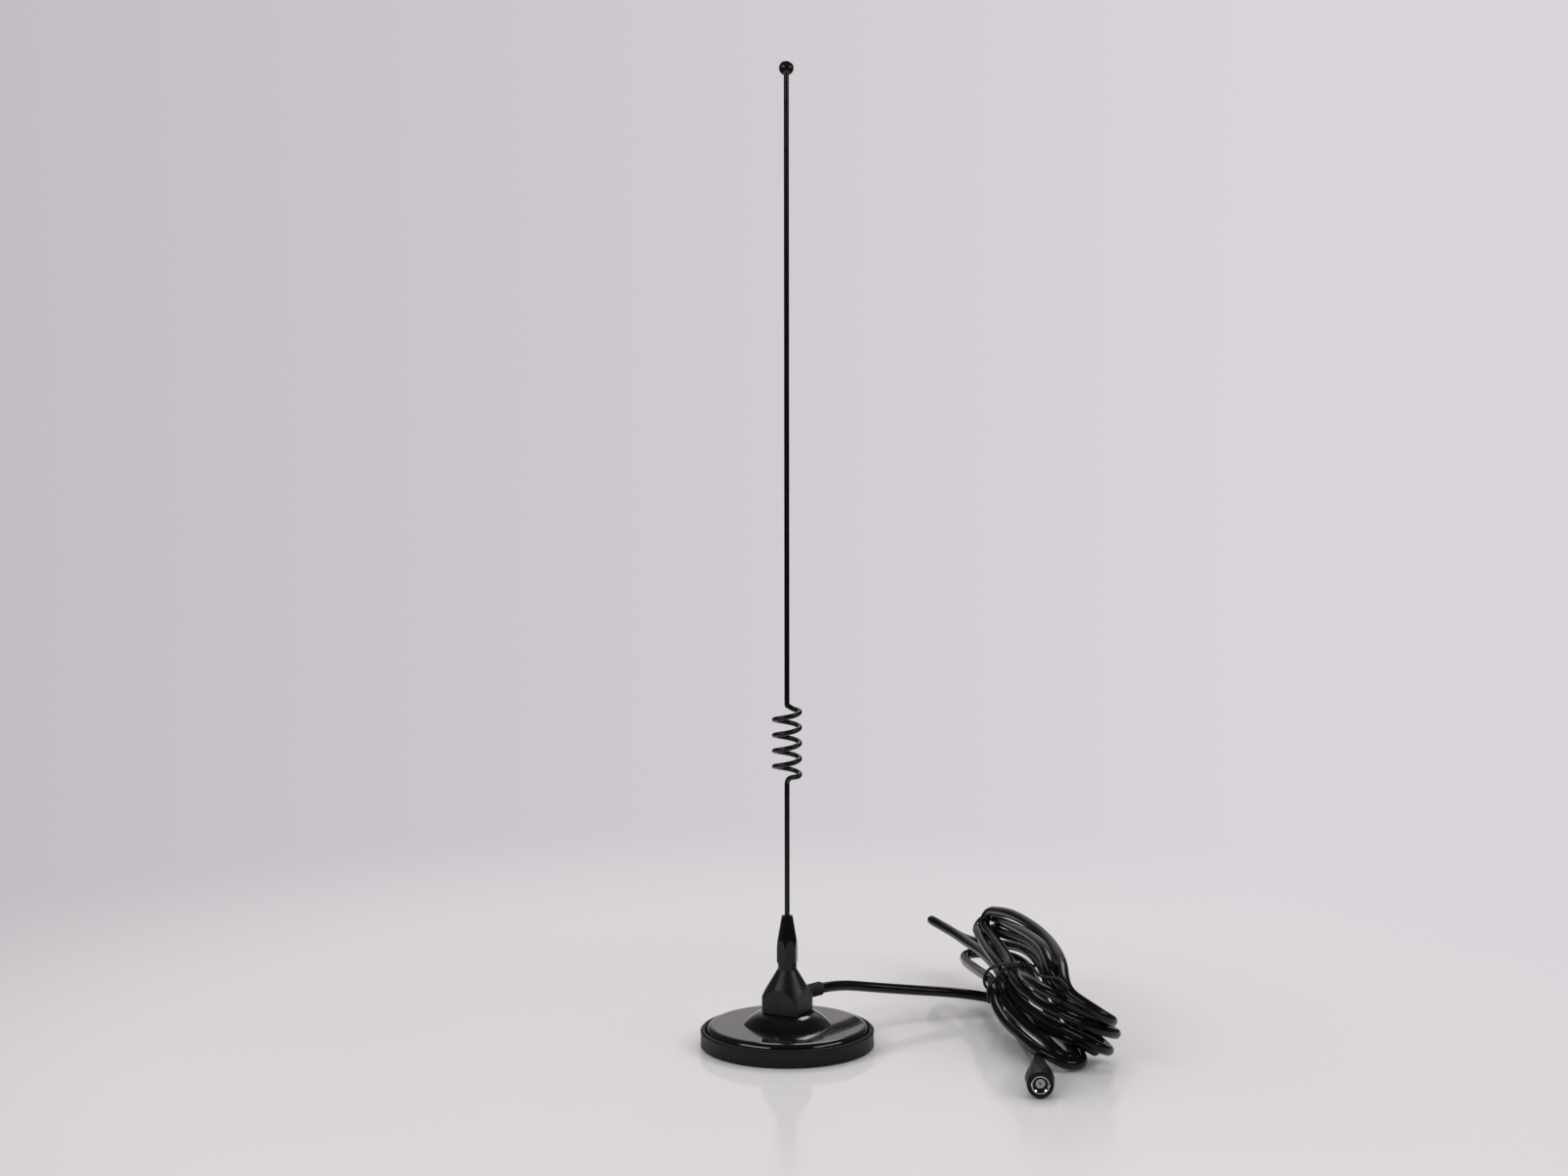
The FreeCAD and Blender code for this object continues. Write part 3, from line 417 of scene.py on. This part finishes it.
def finish(name, colour, roughness, grain=2500.0, mottle=120.0, depth=0.02, spread=0.35,
           peel=0.0, peel_scale=500.0, specks=0.0, scuffs=0.0, metallic=0.0, coat=0.0, specular=0.5,
           dust=(0.30, 0.29, 0.28), lines=None):
    """A finish with grain, mottle, specks and scuffs.

    roughness holds its lowest and highest value, depth is in millimetres, and spread is how far the colour
    strays to either side. lines, for turned or ground metal, holds a turn, an axis, a scale, a wander and
    a weight.
    """
    material = bpy.data.materials.get(name)
    if material:
        return material
    material, tree, shader, surface = bare_material(name)
    shader.inputs["Metallic"].default_value = metallic
    shader.inputs["Specular IOR Level"].default_value = specular
    shader.inputs["Coat Weight"].default_value = coat
    shader.inputs["Coat Roughness"].default_value = COAT_ROUGHNESS
    node_link(tree, shader.outputs[0], surface)
    place = new_node(tree, "ShaderNodeTexCoord").outputs["Object"]
    texture = new_node(tree, "ShaderNodeGroup")
    texture.node_tree = surface_grain()
    texture.inputs["Grain Scale"].default_value = grain
    texture.inputs["Mottle Scale"].default_value = mottle
    texture.inputs["Peel Scale"].default_value = peel_scale
    texture.inputs["Peel"].default_value = peel
    node_link(tree, place, texture.inputs["Vector"])
    marks = new_node(tree, "ShaderNodeGroup")
    marks.node_tree = handling_marks()
    node_link(tree, place, marks.inputs["Vector"])
    body = new_node(tree, "ShaderNodeMix", data_type="RGBA")
    body.inputs["A"].default_value = (*[c * (1 - spread) for c in colour[:3]], 1)
    body.inputs["B"].default_value = (*[min(1.0, c * (1 + spread)) for c in colour[:3]], 1)
    node_link(tree, texture.outputs["Mottle"], body.inputs["Factor"])
    speckled = new_node(tree, "ShaderNodeMix", data_type="RGBA")
    speckled.inputs["B"].default_value = (*dust, 1)
    node_link(tree, weighted(tree, marks.outputs["Specks"], specks), speckled.inputs["Factor"])
    node_link(tree, body.outputs["Result"], speckled.inputs["A"])
    node_link(tree, speckled.outputs["Result"], shader.inputs["Base Color"])
    smooth = ramp(tree, texture.outputs["Mottle"], MOTTLE_REACH, roughness)
    node_link(tree, weighted(tree, marks.outputs["Scuffs"], scuffs, smooth), shader.inputs["Roughness"])
    height = texture.outputs["Height"]
    if lines:
        turn, axis, scale, wander, weight = lines
        turned = new_node(tree, "ShaderNodeMapping")
        turned.inputs["Rotation"].default_value = turn
        node_link(tree, place, turned.inputs["Vector"])
        wave = new_node(tree, "ShaderNodeTexWave", bands_direction=axis)
        wave.inputs["Scale"].default_value = scale
        wave.inputs["Distortion"].default_value = wander
        wave.inputs["Detail"].default_value = 2
        node_link(tree, turned.outputs[0], wave.inputs["Vector"])
        height = weighted(tree, wave.outputs["Fac"], weight, height)
    bump = new_node(tree, "ShaderNodeBump")
    bump.inputs["Strength"].default_value = 1.0
    bump.inputs["Distance"].default_value = depth * MM
    node_link(tree, height, bump.inputs["Height"])
    node_link(tree, bump.outputs[0], shader.inputs["Normal"])
    return material


def restyle(material, *nodes):
    """Gives solids of the part a finish."""
    for name in nodes:
        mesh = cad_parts[name].data
        mesh.materials.clear()
        mesh.materials.append(material)


def colours():
    """The colours that the panel holds."""
    return bpy.context.scene.antenna_finish


def paint_finish():
    """Gloss black paint with a little orange peel."""
    return finish("gloss_cover_paint", colours().paint, (0.10, 0.17), grain=1800, mottle=60, depth=0.003,
                  peel=2.0, peel_scale=420, specks=0.10, scuffs=0.08, coat=0.8)


def boot_finish():
    """Matt moulded rubber of the boot."""
    return finish("matt_boot_rubber", colours().rubber, (0.38, 0.52), grain=2600, mottle=90, depth=0.016,
                  specks=0.10, scuffs=0.12, spread=0.4, specular=0.22)


def relief_finish():
    """Moulded rubber of the strain relief."""
    return finish("relief_rubber", colours().rubber, (0.34, 0.46), grain=3200, mottle=160, depth=0.014,
                  specks=0.08, scuffs=0.08, specular=0.4)


def hub_finish():
    """Satin moulded plastic of the hub."""
    return finish("satin_hub_plastic", colours().plastic, (0.24, 0.34), grain=2600, mottle=110, depth=0.022,
                  peel=0.8, specks=0.08, scuffs=0.10, specular=0.40)


def ball_finish():
    """Smooth plastic of the ball on the tip."""
    return finish("tip_ball_plastic", colours().plastic, (0.16, 0.26), grain=3600, mottle=220, depth=0.006,
                  specks=0.06, scuffs=0.08)


def sleeve_finish():
    """Satin moulded plastic of the connector's grip sleeve."""
    return finish("satin_sleeve_plastic", colours().plastic, (0.30, 0.42), grain=3400, mottle=150,
                  depth=0.014, specks=0.08, scuffs=0.12, specular=0.15)


def jacket_finish():
    """Soft, rather glossy plastic of the cable."""
    return finish("soft_cable_jacket", colours().jacket, (0.11, 0.19), grain=2800, mottle=70, depth=0.004,
                  peel=1.2, peel_scale=260, specks=0.06, scuffs=0.08, specular=0.28)


def coating_finish():
    """Satin black coating of the whip and its ferrule."""
    return finish("satin_whip_coating", colours().coating, (0.18, 0.28), grain=3600, mottle=140, depth=0.005,
                  peel=0.5, specks=0.05, scuffs=0.10, specular=0.38)


def nickel_finish():
    """Bright nickel plate with turning lines."""
    return finish("bright_nickel_plate", colours().nickel, (0.08, 0.18), grain=2400, mottle=300, depth=0.003,
                  spread=0.12, metallic=1.0, scuffs=0.12, lines=((0.02, 0.0, -0.08), "Y", 1500.0, 0.6, 0.6))


def painted_shade_nickel_finish():
    """Nickel plate darkened to paint the shade on the connector's recessed body and in the nut's thread."""
    return finish("dull_dark_nickel", colours().painted_shade_nickel, (0.30, 0.42), grain=2400, mottle=300,
                  depth=0.004, spread=0.15, metallic=1.0, scuffs=0.06)


def brass_finish():
    """Brass with turning lines, darkened far below bright brass to paint the shade on the recessed pin."""
    return finish("bright_brass", colours().brass, (0.16, 0.30), grain=2400, mottle=350, depth=0.004,
                  spread=0.2, metallic=1.0, scuffs=0.12, lines=((0.0, 0.0, 0.0), "Z", 1300.0, 0.4, 0.6))


def steel_finish():
    """Zinc-plated steel."""
    return finish("zinc_plated_steel", colours().steel, (0.26, 0.42), grain=1500, mottle=420, depth=0.008,
                  spread=0.18, metallic=1.0, scuffs=0.15)


def ferrite_finish():
    """Dark ferrite with grinding lines."""
    return finish("ground_ferrite", colours().ferrite, (0.45, 0.60), grain=1800, mottle=260, depth=0.02,
                  spread=0.3, metallic=0.3, scuffs=0.1, lines=((0.0, 0.0, 0.0), "X", 900.0, 1.5, 0.7))


def insulator_finish():
    """White plastic with a few warm specks."""
    return finish("white_insulator", colours().insulator, (0.28, 0.40), grain=2800, mottle=400, depth=0.008,
                  spread=0.06, dust=(0.45, 0.40, 0.33), specks=0.4)


def tie_finish():
    """Plastic coat of the tie's wire."""
    return finish("coated_tie_wire", colours().plastic, (0.38, 0.52), grain=3800, mottle=300, depth=0.012,
                  specks=0.1, scuffs=0.1)


def nurbs_curve(name, routes, radius, resolution):
    """A curve object with one NURBS line of order 3 for each route."""
    curve = bpy.data.curves.new(name, "CURVE")
    curve.dimensions = "3D"
    curve.resolution_u = resolution
    curve.bevel_depth = radius
    curve.bevel_resolution = BEVEL_STEPS
    curve.use_fill_caps = True
    for route in routes:
        line = curve.splines.new("NURBS")
        line.points.add(len(route) - 1)
        for point, place in zip(line.points, route):
            point.co = (*place, 1)
        line.order_u = 3
        line.use_endpoint_u = True
    piece = bpy.data.objects.new(name, curve)
    bpy.context.scene.collection.objects.link(piece)
    return piece


def made_mesh(piece, name):
    """A plain mesh object from what a piece's geometry nodes make, in place of the piece."""
    graph = bpy.context.evaluated_depsgraph_get()
    mesh = bpy.data.meshes.new_from_object(
        piece.evaluated_get(graph), preserve_all_data_layers=True, depsgraph=graph)
    piece.modifiers.clear()
    old = piece.data
    bpy.data.objects.remove(piece)
    (bpy.data.curves if isinstance(old, bpy.types.Curve) else bpy.data.meshes).remove(old)
    mesh.name = name
    made = bpy.data.objects.new(name, mesh)
    bpy.context.scene.collection.objects.link(made)
    if not mesh.polygons:
        raise RuntimeError(name + " came out empty")
    return made


def geometry_tree(name, inputs):
    """A geometry node tree with named inputs, and its start and end nodes."""
    tree = bpy.data.node_groups.new(name, "GeometryNodeTree")
    tree.interface.new_socket("Geometry", in_out="INPUT", socket_type="NodeSocketGeometry")
    for label, kind in inputs:
        tree.interface.new_socket(label, in_out="INPUT", socket_type=kind)
    tree.interface.new_socket("Geometry", in_out="OUTPUT", socket_type="NodeSocketGeometry")
    return tree, new_node(tree, "NodeGroupInput"), new_node(tree, "NodeGroupOutput")


def with_tree(piece, tree, values):
    """Puts a tree on a piece and sets its inputs by their identifiers."""
    modifier = piece.modifiers.new(tree.name, "NODES")
    modifier.node_group = tree
    for item in tree.interface.items_tree:
        if item.item_type == "SOCKET" and item.in_out == "INPUT" and item.name in values:
            modifier[item.identifier] = values[item.name]


def end_with_material(tree, geometry, material_socket, end):
    """Smooth faces, real instances and the material, as the last nodes of a tree."""
    smooth = new_node(tree, "GeometryNodeSetShadeSmooth")
    real = new_node(tree, "GeometryNodeRealizeInstances")
    paint = new_node(tree, "GeometryNodeSetMaterial")
    node_link(tree, geometry, smooth.inputs["Geometry"])
    node_link(tree, smooth.outputs["Geometry"], real.inputs["Geometry"])
    node_link(tree, real.outputs["Geometry"], paint.inputs["Geometry"])
    node_link(tree, material_socket, paint.inputs["Material"])
    node_link(tree, paint.outputs["Geometry"], end.inputs["Geometry"])


def helix_nodes(tree, turns, radius, height, resolution):
    """A spiral of even radius from socket values."""
    spiral = new_node(tree, "GeometryNodeCurveSpiral")
    spiral.inputs["Resolution"].default_value = resolution
    node_link(tree, turns, spiral.inputs["Rotations"])
    node_link(tree, radius, spiral.inputs["Start Radius"])
    node_link(tree, radius, spiral.inputs["End Radius"])
    node_link(tree, height, spiral.inputs["Height"])
    return spiral.outputs["Curve"]


def swept(tree, curve, wire_radius, sides):
    """A round or many-sided bar along a curve."""
    profile = new_node(tree, "GeometryNodeCurvePrimitiveCircle", mode="RADIUS")
    profile.inputs["Resolution"].default_value = sides
    node_link(tree, wire_radius, profile.inputs["Radius"])
    sweep = new_node(tree, "GeometryNodeCurveToMesh")
    sweep.inputs["Fill Caps"].default_value = True
    node_link(tree, curve, sweep.inputs["Curve"])
    node_link(tree, profile.outputs["Curve"], sweep.inputs["Profile Curve"])
    return sweep.outputs["Mesh"]


def tie_tree():
    """Sweeps the tie's wires and twists the two ends into a knot."""
    tree, start, end = geometry_tree("Twist Tie", (
        ("Wire Radius", "NodeSocketFloat"), ("Knot Turns", "NodeSocketFloat"),
        ("Knot Length", "NodeSocketFloat"), ("Knot Radius", "NodeSocketFloat"),
        ("Knot Place", "NodeSocketVector"), ("Knot Turn", "NodeSocketVector"),
        ("Material", "NodeSocketMaterial")))
    join = new_node(tree, "GeometryNodeJoinGeometry")
    wire_radius = start.outputs["Wire Radius"]
    node_link(tree, swept(tree, start.outputs["Geometry"], wire_radius, WIRE_SIDES), join.inputs[0])
    helix = helix_nodes(tree, start.outputs["Knot Turns"], start.outputs["Knot Radius"],
                        start.outputs["Knot Length"], KNOT_STEPS)
    for half_turn in (0.0, math.pi):
        around = new_node(tree, "GeometryNodeTransform")
        around.inputs["Rotation"].default_value = (0, 0, half_turn)
        node_link(tree, helix, around.inputs["Geometry"])
        placed = new_node(tree, "GeometryNodeTransform")
        node_link(tree, around.outputs["Geometry"], placed.inputs["Geometry"])
        node_link(tree, start.outputs["Knot Place"], placed.inputs["Translation"])
        node_link(tree, start.outputs["Knot Turn"], placed.inputs["Rotation"])
        node_link(tree, swept(tree, placed.outputs["Geometry"], wire_radius, WIRE_SIDES), join.inputs[0])
    end_with_material(tree, join.outputs["Geometry"], start.outputs["Material"], end)
    return tree


def thread_tree():
    """Winds a thread's ridge along the axis of a nut."""
    tree, start, end = geometry_tree("Nut Thread", (
        ("Turns", "NodeSocketFloat"), ("Radius", "NodeSocketFloat"), ("Depth", "NodeSocketFloat"),
        ("Ridge", "NodeSocketFloat"), ("Place", "NodeSocketVector"), ("Turn", "NodeSocketVector"),
        ("Material", "NodeSocketMaterial")))
    helix = helix_nodes(tree, start.outputs["Turns"], start.outputs["Radius"], start.outputs["Depth"],
                        THREAD_STEPS)
    placed = new_node(tree, "GeometryNodeTransform")
    node_link(tree, helix, placed.inputs["Geometry"])
    node_link(tree, start.outputs["Place"], placed.inputs["Translation"])
    node_link(tree, start.outputs["Turn"], placed.inputs["Rotation"])
    ridge = swept(tree, placed.outputs["Geometry"], start.outputs["Ridge"], RIDGE_SIDES)
    end_with_material(tree, ridge, start.outputs["Material"], end)
    return tree


def turn_to(way):
    """The turn that brings +Z onto a direction."""
    return Vector(way).to_track_quat("Z", "Y").to_euler()


class ANTENNA_OT_cable(bpy.types.Operator):
    """Lays the cable from the strain relief, through its tied coil, to the connector"""
    bl_idname = "antenna.cable"
    bl_label = "Cable"

    def execute(self, context):
        sizes = context.scene.antenna_cable
        route = list(LEAD)
        for turn in COIL_TURNS:
            route += turn["strand"] + turn["fold"] + turn["top"]
        route += TAIL
        cable = nurbs_curve("coax_cable", [metres(route)], sizes.cable_diameter / 2, CABLE_STEPS)
        cable.data.materials.append(jacket_finish())
        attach(cable, "antenna")
        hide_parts("coax_lead", "coax_hank", "coax_tail")
        on_cable = [bpy.data.objects["tie_wire"], bpy.data.objects["nut_thread"]]
        on_cable += [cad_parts[name] for name in (
            "coupling_nut", "grip_sleeve", "connector_body", "connector_insulator", "connector_pin",
            "retaining_ring", "crimp_ferrule")]
        restyle(jacket_finish(), "cable_entry")
        return {"FINISHED"}


class ANTENNA_OT_tie(bpy.types.Operator):
    """Winds the coated wire round the coil and twists its knot"""
    bl_idname = "antenna.tie"
    bl_label = "Twist tie"

    def execute(self, context):
        sizes = context.scene.antenna_cable
        routes = [metres(TIE_BAND), metres(TIE_SECOND), metres(TIE_END)]
        wires = nurbs_curve("tie_lines", routes, 0.0, TIE_STEPS)
        with_tree(wires, tie_tree(), {
            "Wire Radius": sizes.tie_diameter / 2, "Knot Turns": sizes.knot_turns,
            "Knot Length": sizes.knot_length, "Knot Radius": sizes.tie_diameter * KNOT_RADIUS_SHARE,
            "Knot Place": Vector(KNOT_FOOT) * MM, "Knot Turn": Vector(turn_to(KNOT_WAY)),
            "Material": tie_finish()})
        tie = made_mesh(wires, "tie_wire")
        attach(tie, "antenna")
        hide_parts("twist_tie")
        return {"FINISHED"}


class ANTENNA_OT_thread(bpy.types.Operator):
    """Winds the thread inside the mouth of the connector's nut"""
    bl_idname = "antenna.thread"
    bl_label = "Nut thread"

    def execute(self, context):
        sizes = context.scene.antenna_thread
        blank = bpy.data.objects.new("thread_blank", bpy.data.meshes.new("thread_blank"))
        context.scene.collection.objects.link(blank)
        back = Vector(CONNECTOR_BACK).normalized()
        # The thread takes the darkened nickel, which paints the shade inside the nut's mouth.
        with_tree(blank, thread_tree(), {
            "Turns": sizes.depth / sizes.pitch, "Radius": sizes.bore / 2 - THREAD_INSET,
            "Depth": sizes.depth, "Ridge": sizes.pitch * THREAD_RIDGE_SHARE,
            "Place": Vector(NUT_MOUTH) * MM + back * THREAD_START,
            "Turn": Vector(turn_to(back)), "Material": painted_shade_nickel_finish()})
        thread = made_mesh(blank, "nut_thread")
        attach(thread, "coupling")
        return {"FINISHED"}


class ANTENNA_OT_base(bpy.types.Operator):
    """Finishes the magnet base: boot, cover, magnet and pole plate"""
    bl_idname = "antenna.base"
    bl_label = "Magnet base"

    def execute(self, context):
        restyle(boot_finish(), "rubber_boot")
        restyle(paint_finish(), "base_cover")
        restyle(ferrite_finish(), "ring_magnet")
        restyle(steel_finish(), "pole_plate", "fixing_screw", "lock_washer")
        return {"FINISHED"}


class ANTENNA_OT_hub(bpy.types.Operator):
    """Finishes the hub, its inner parts and the strain relief"""
    bl_idname = "antenna.hub"
    bl_label = "Hub"

    def execute(self, context):
        restyle(hub_finish(), "hub_housing")
        restyle(relief_finish(), "strain_relief")
        restyle(brass_finish(), "hub_insert", "centre_conductor")
        restyle(nickel_finish(), "ground_lug", "braid_pigtail")
        restyle(insulator_finish(), "core_insulation")
        return {"FINISHED"}


class ANTENNA_OT_whip(bpy.types.Operator):
    """Finishes the whip: socket, ferrule, rod with its coil, and ball"""
    bl_idname = "antenna.whip"
    bl_label = "Whip"

    def execute(self, context):
        restyle(coating_finish(), "threaded_socket", "whip_ferrule", "whip_rod")
        restyle(ball_finish(), "tip_ball")
        return {"FINISHED"}


class ANTENNA_OT_connector(bpy.types.Operator):
    """Finishes the connector: nut, sleeve, body, insulator and pin"""
    bl_idname = "antenna.connector"
    bl_label = "Connector"

    def execute(self, context):
        restyle(nickel_finish(), "coupling_nut", "crimp_ferrule")
        # The body takes the darkened nickel, which paints the shade in the recess behind the nut's mouth.
        restyle(painted_shade_nickel_finish(), "connector_body")
        restyle(sleeve_finish(), "grip_sleeve")
        restyle(insulator_finish(), "connector_insulator")
        # The pin takes the darkened brass, which paints the shade in its recess.
        restyle(brass_finish(), "connector_pin", "retaining_ring")
        return {"FINISHED"}


def floor_finish(colour):
    """A pale floor, slightly glossy by the object, that fades into the backdrop away from it."""
    material, tree, shader, surface = bare_material("pale_floor")
    shader.inputs["Base Color"].default_value = colour
    shader.inputs["Specular IOR Level"].default_value = FLOOR_SPECULAR
    place = new_node(tree, "ShaderNodeTexCoord").outputs["Object"]
    length = new_node(tree, "ShaderNodeVectorMath", operation="LENGTH")
    node_link(tree, place, length.inputs[0])
    distance = length.outputs["Value"]
    matt = falloff(tree, distance, FLOOR_MATT_REACH, FLOOR_ROUGHNESS)
    node_link(tree, matt, shader.inputs["Roughness"])
    clear = new_node(tree, "ShaderNodeBsdfTransparent")
    mix = new_node(tree, "ShaderNodeMixShader")
    node_link(tree, falloff(tree, distance, FLOOR_FADE_REACH), mix.inputs["Fac"])
    node_link(tree, shader.outputs[0], mix.inputs[1])
    node_link(tree, clear.outputs[0], mix.inputs[2])
    node_link(tree, mix.outputs[0], surface)
    return material


def backdrop_world(stage):
    """A plain backdrop for the camera, the room for reflections, and the room's soft light for the rest."""
    world = bpy.data.worlds.new("studio")
    world.use_nodes = True
    tree = world.node_tree
    tree.nodes.clear()
    output = new_node(tree, "ShaderNodeOutputWorld")
    seen = new_node(tree, "ShaderNodeBackground")
    light = new_node(tree, "ShaderNodeBackground")
    light.inputs["Color"].default_value = LIGHT_COLOUR
    parts = new_node(tree, "ShaderNodeSeparateXYZ")
    node_link(tree, new_node(tree, "ShaderNodeTexCoord").outputs["Generated"], parts.inputs[0])
    across = parts.outputs["X"]
    back = parts.outputs["Y"]
    up = parts.outputs["Z"]
    tone = new_node(tree, "ShaderNodeMix", data_type="RGBA")
    tone.inputs["A"].default_value = stage.backdrop_left
    tone.inputs["B"].default_value = stage.backdrop_right
    node_link(tree, ramp(tree, across, BACKDROP_REACH), tone.inputs["Factor"])
    node_link(tree, tone.outputs["Result"], seen.inputs["Color"])
    aside = new_node(tree, "ShaderNodeMath", operation="ABSOLUTE")
    node_link(tree, across, aside.inputs[0])
    level = combined(tree, "MULTIPLY", falloff(tree, back, *MIRRORED_BACK),
                     falloff(tree, aside.outputs[0], *MIRRORED_SIDE))
    mirrored = combined(tree, "MULTIPLY", level, falloff(tree, up, *MIRRORED_OVERHEAD))
    rays = new_node(tree, "ShaderNodeLightPath").outputs
    strength = combined(tree, "MAXIMUM", rays["Is Camera Ray"], mirrored)
    node_link(tree, strength, seen.inputs["Strength"])
    light_ends = (LIGHT_FRONT_SHARE * stage.sky_light, stage.sky_light)
    soft = combined(tree, "MULTIPLY", falloff(tree, back, LIGHT_BACK_REACH, light_ends),
                    falloff(tree, up, *LIGHT_ABOVE))
    node_link(tree, soft, light.inputs["Strength"])
    either = combined(tree, "MAXIMUM", rays["Is Camera Ray"], rays["Is Glossy Ray"])
    any_seen = combined(tree, "MAXIMUM", either, rays["Is Transmission Ray"])
    mix = new_node(tree, "ShaderNodeMixShader")
    node_link(tree, any_seen, mix.inputs["Fac"])
    node_link(tree, light.outputs[0], mix.inputs[1])
    node_link(tree, seen.outputs[0], mix.inputs[2])
    node_link(tree, mix.outputs[0], output.inputs["Surface"])
    return world


def softbox(name, place, aim, size, power):
    """A flat lamp aimed at a point."""
    lamp = bpy.data.lights.new(name, "AREA")
    lamp.shape = "RECTANGLE"
    lamp.size, lamp.size_y = size
    lamp.energy = power
    box = bpy.data.objects.new(name, lamp)
    box.location = place
    box.rotation_euler = (Vector(aim) - Vector(place)).to_track_quat("-Z", "Y").to_euler()
    bpy.context.scene.collection.objects.link(box)


class ANTENNA_OT_stage(bpy.types.Operator):
    """Sets the camera, the floor, the backdrop and the lamps"""
    bl_idname = "antenna.stage"
    bl_label = "Stage"

    def execute(self, context):
        scene = context.scene
        stage = scene.antenna_stage
        lens = bpy.data.cameras.new("camera")
        lens.lens = stage.lens
        lens.sensor_width = SENSOR_WIDTH
        lens.shift_x = CAMERA_SHIFT
        camera = bpy.data.objects.new("camera", lens)
        camera.location = CAMERA_PLACE
        camera.rotation_euler = Euler((math.radians(CAMERA_TILT), math.radians(CAMERA_ROLL), 0))
        scene.collection.objects.link(camera)
        scene.camera = camera
        mesh = bpy.data.meshes.new("floor")
        angles = [math.tau * i / FLOOR_CORNERS for i in range(FLOOR_CORNERS)]
        corners = [(FLOOR_RADIUS * math.cos(a), FLOOR_RADIUS * math.sin(a), 0) for a in angles]
        mesh.from_pydata(corners, [], [range(FLOOR_CORNERS)])
        mesh.materials.append(floor_finish(stage.floor_colour))
        floor = bpy.data.objects.new("floor", mesh)
        scene.collection.objects.link(floor)
        scene.world = backdrop_world(stage)
        for name, (place, aim, size) in SOFTBOXES.items():
            softbox(name + "_softbox", place, aim, size, getattr(stage, name + "_lamp"))
        scene.view_settings.view_transform = "Standard"
        return {"FINISHED"}


class ANTENNA_PT_panel(bpy.types.Panel):
    """Lists the antenna's pieces, sizes and finishes"""
    bl_idname = "ANTENNA_PT_panel"
    bl_label = "Magnetic Car Antenna"
    bl_space_type = "VIEW_3D"
    bl_region_type = "UI"
    bl_category = "Antenna"

    def draw(self, context):
        layout = self.layout
        for group in GROUPS:
            values = getattr(context.scene, group)
            box = layout.box()
            for name in values.__annotations__:
                box.prop(values, name)
        for operator in OPERATORS:
            layout.operator(operator.bl_idname)


GROUPS = {"antenna_cable": AntennaCable, "antenna_thread": AntennaThread, "antenna_finish": AntennaFinish,
          "antenna_stage": AntennaStage}
OPERATORS = (ANTENNA_OT_stage, ANTENNA_OT_tie, ANTENNA_OT_thread, ANTENNA_OT_cable, ANTENNA_OT_base,
             ANTENNA_OT_hub, ANTENNA_OT_whip, ANTENNA_OT_connector)


def register():
    """Makes the sizes, the operators and the panel known to Blender."""
    for name, group in GROUPS.items():
        bpy.utils.register_class(group)
        setattr(bpy.types.Scene, name, bpy.props.PointerProperty(type=group))
    for operator in OPERATORS:
        bpy.utils.register_class(operator)
    bpy.utils.register_class(ANTENNA_PT_panel)


def unregister():
    """Takes away what register brought in."""
    bpy.utils.unregister_class(ANTENNA_PT_panel)
    for operator in reversed(OPERATORS):
        bpy.utils.unregister_class(operator)
    for name, group in reversed(GROUPS.items()):
        delattr(bpy.types.Scene, name)
        bpy.utils.unregister_class(group)


def main():
    """Makes every piece in order."""
    register()
    bpy.ops.antenna.stage()
    bpy.ops.antenna.tie()
    bpy.ops.antenna.thread()
    bpy.ops.antenna.cable()
    bpy.ops.antenna.base()
    bpy.ops.antenna.hub()
    bpy.ops.antenna.whip()
    bpy.ops.antenna.connector()


if __name__ == "__main__":
    main()
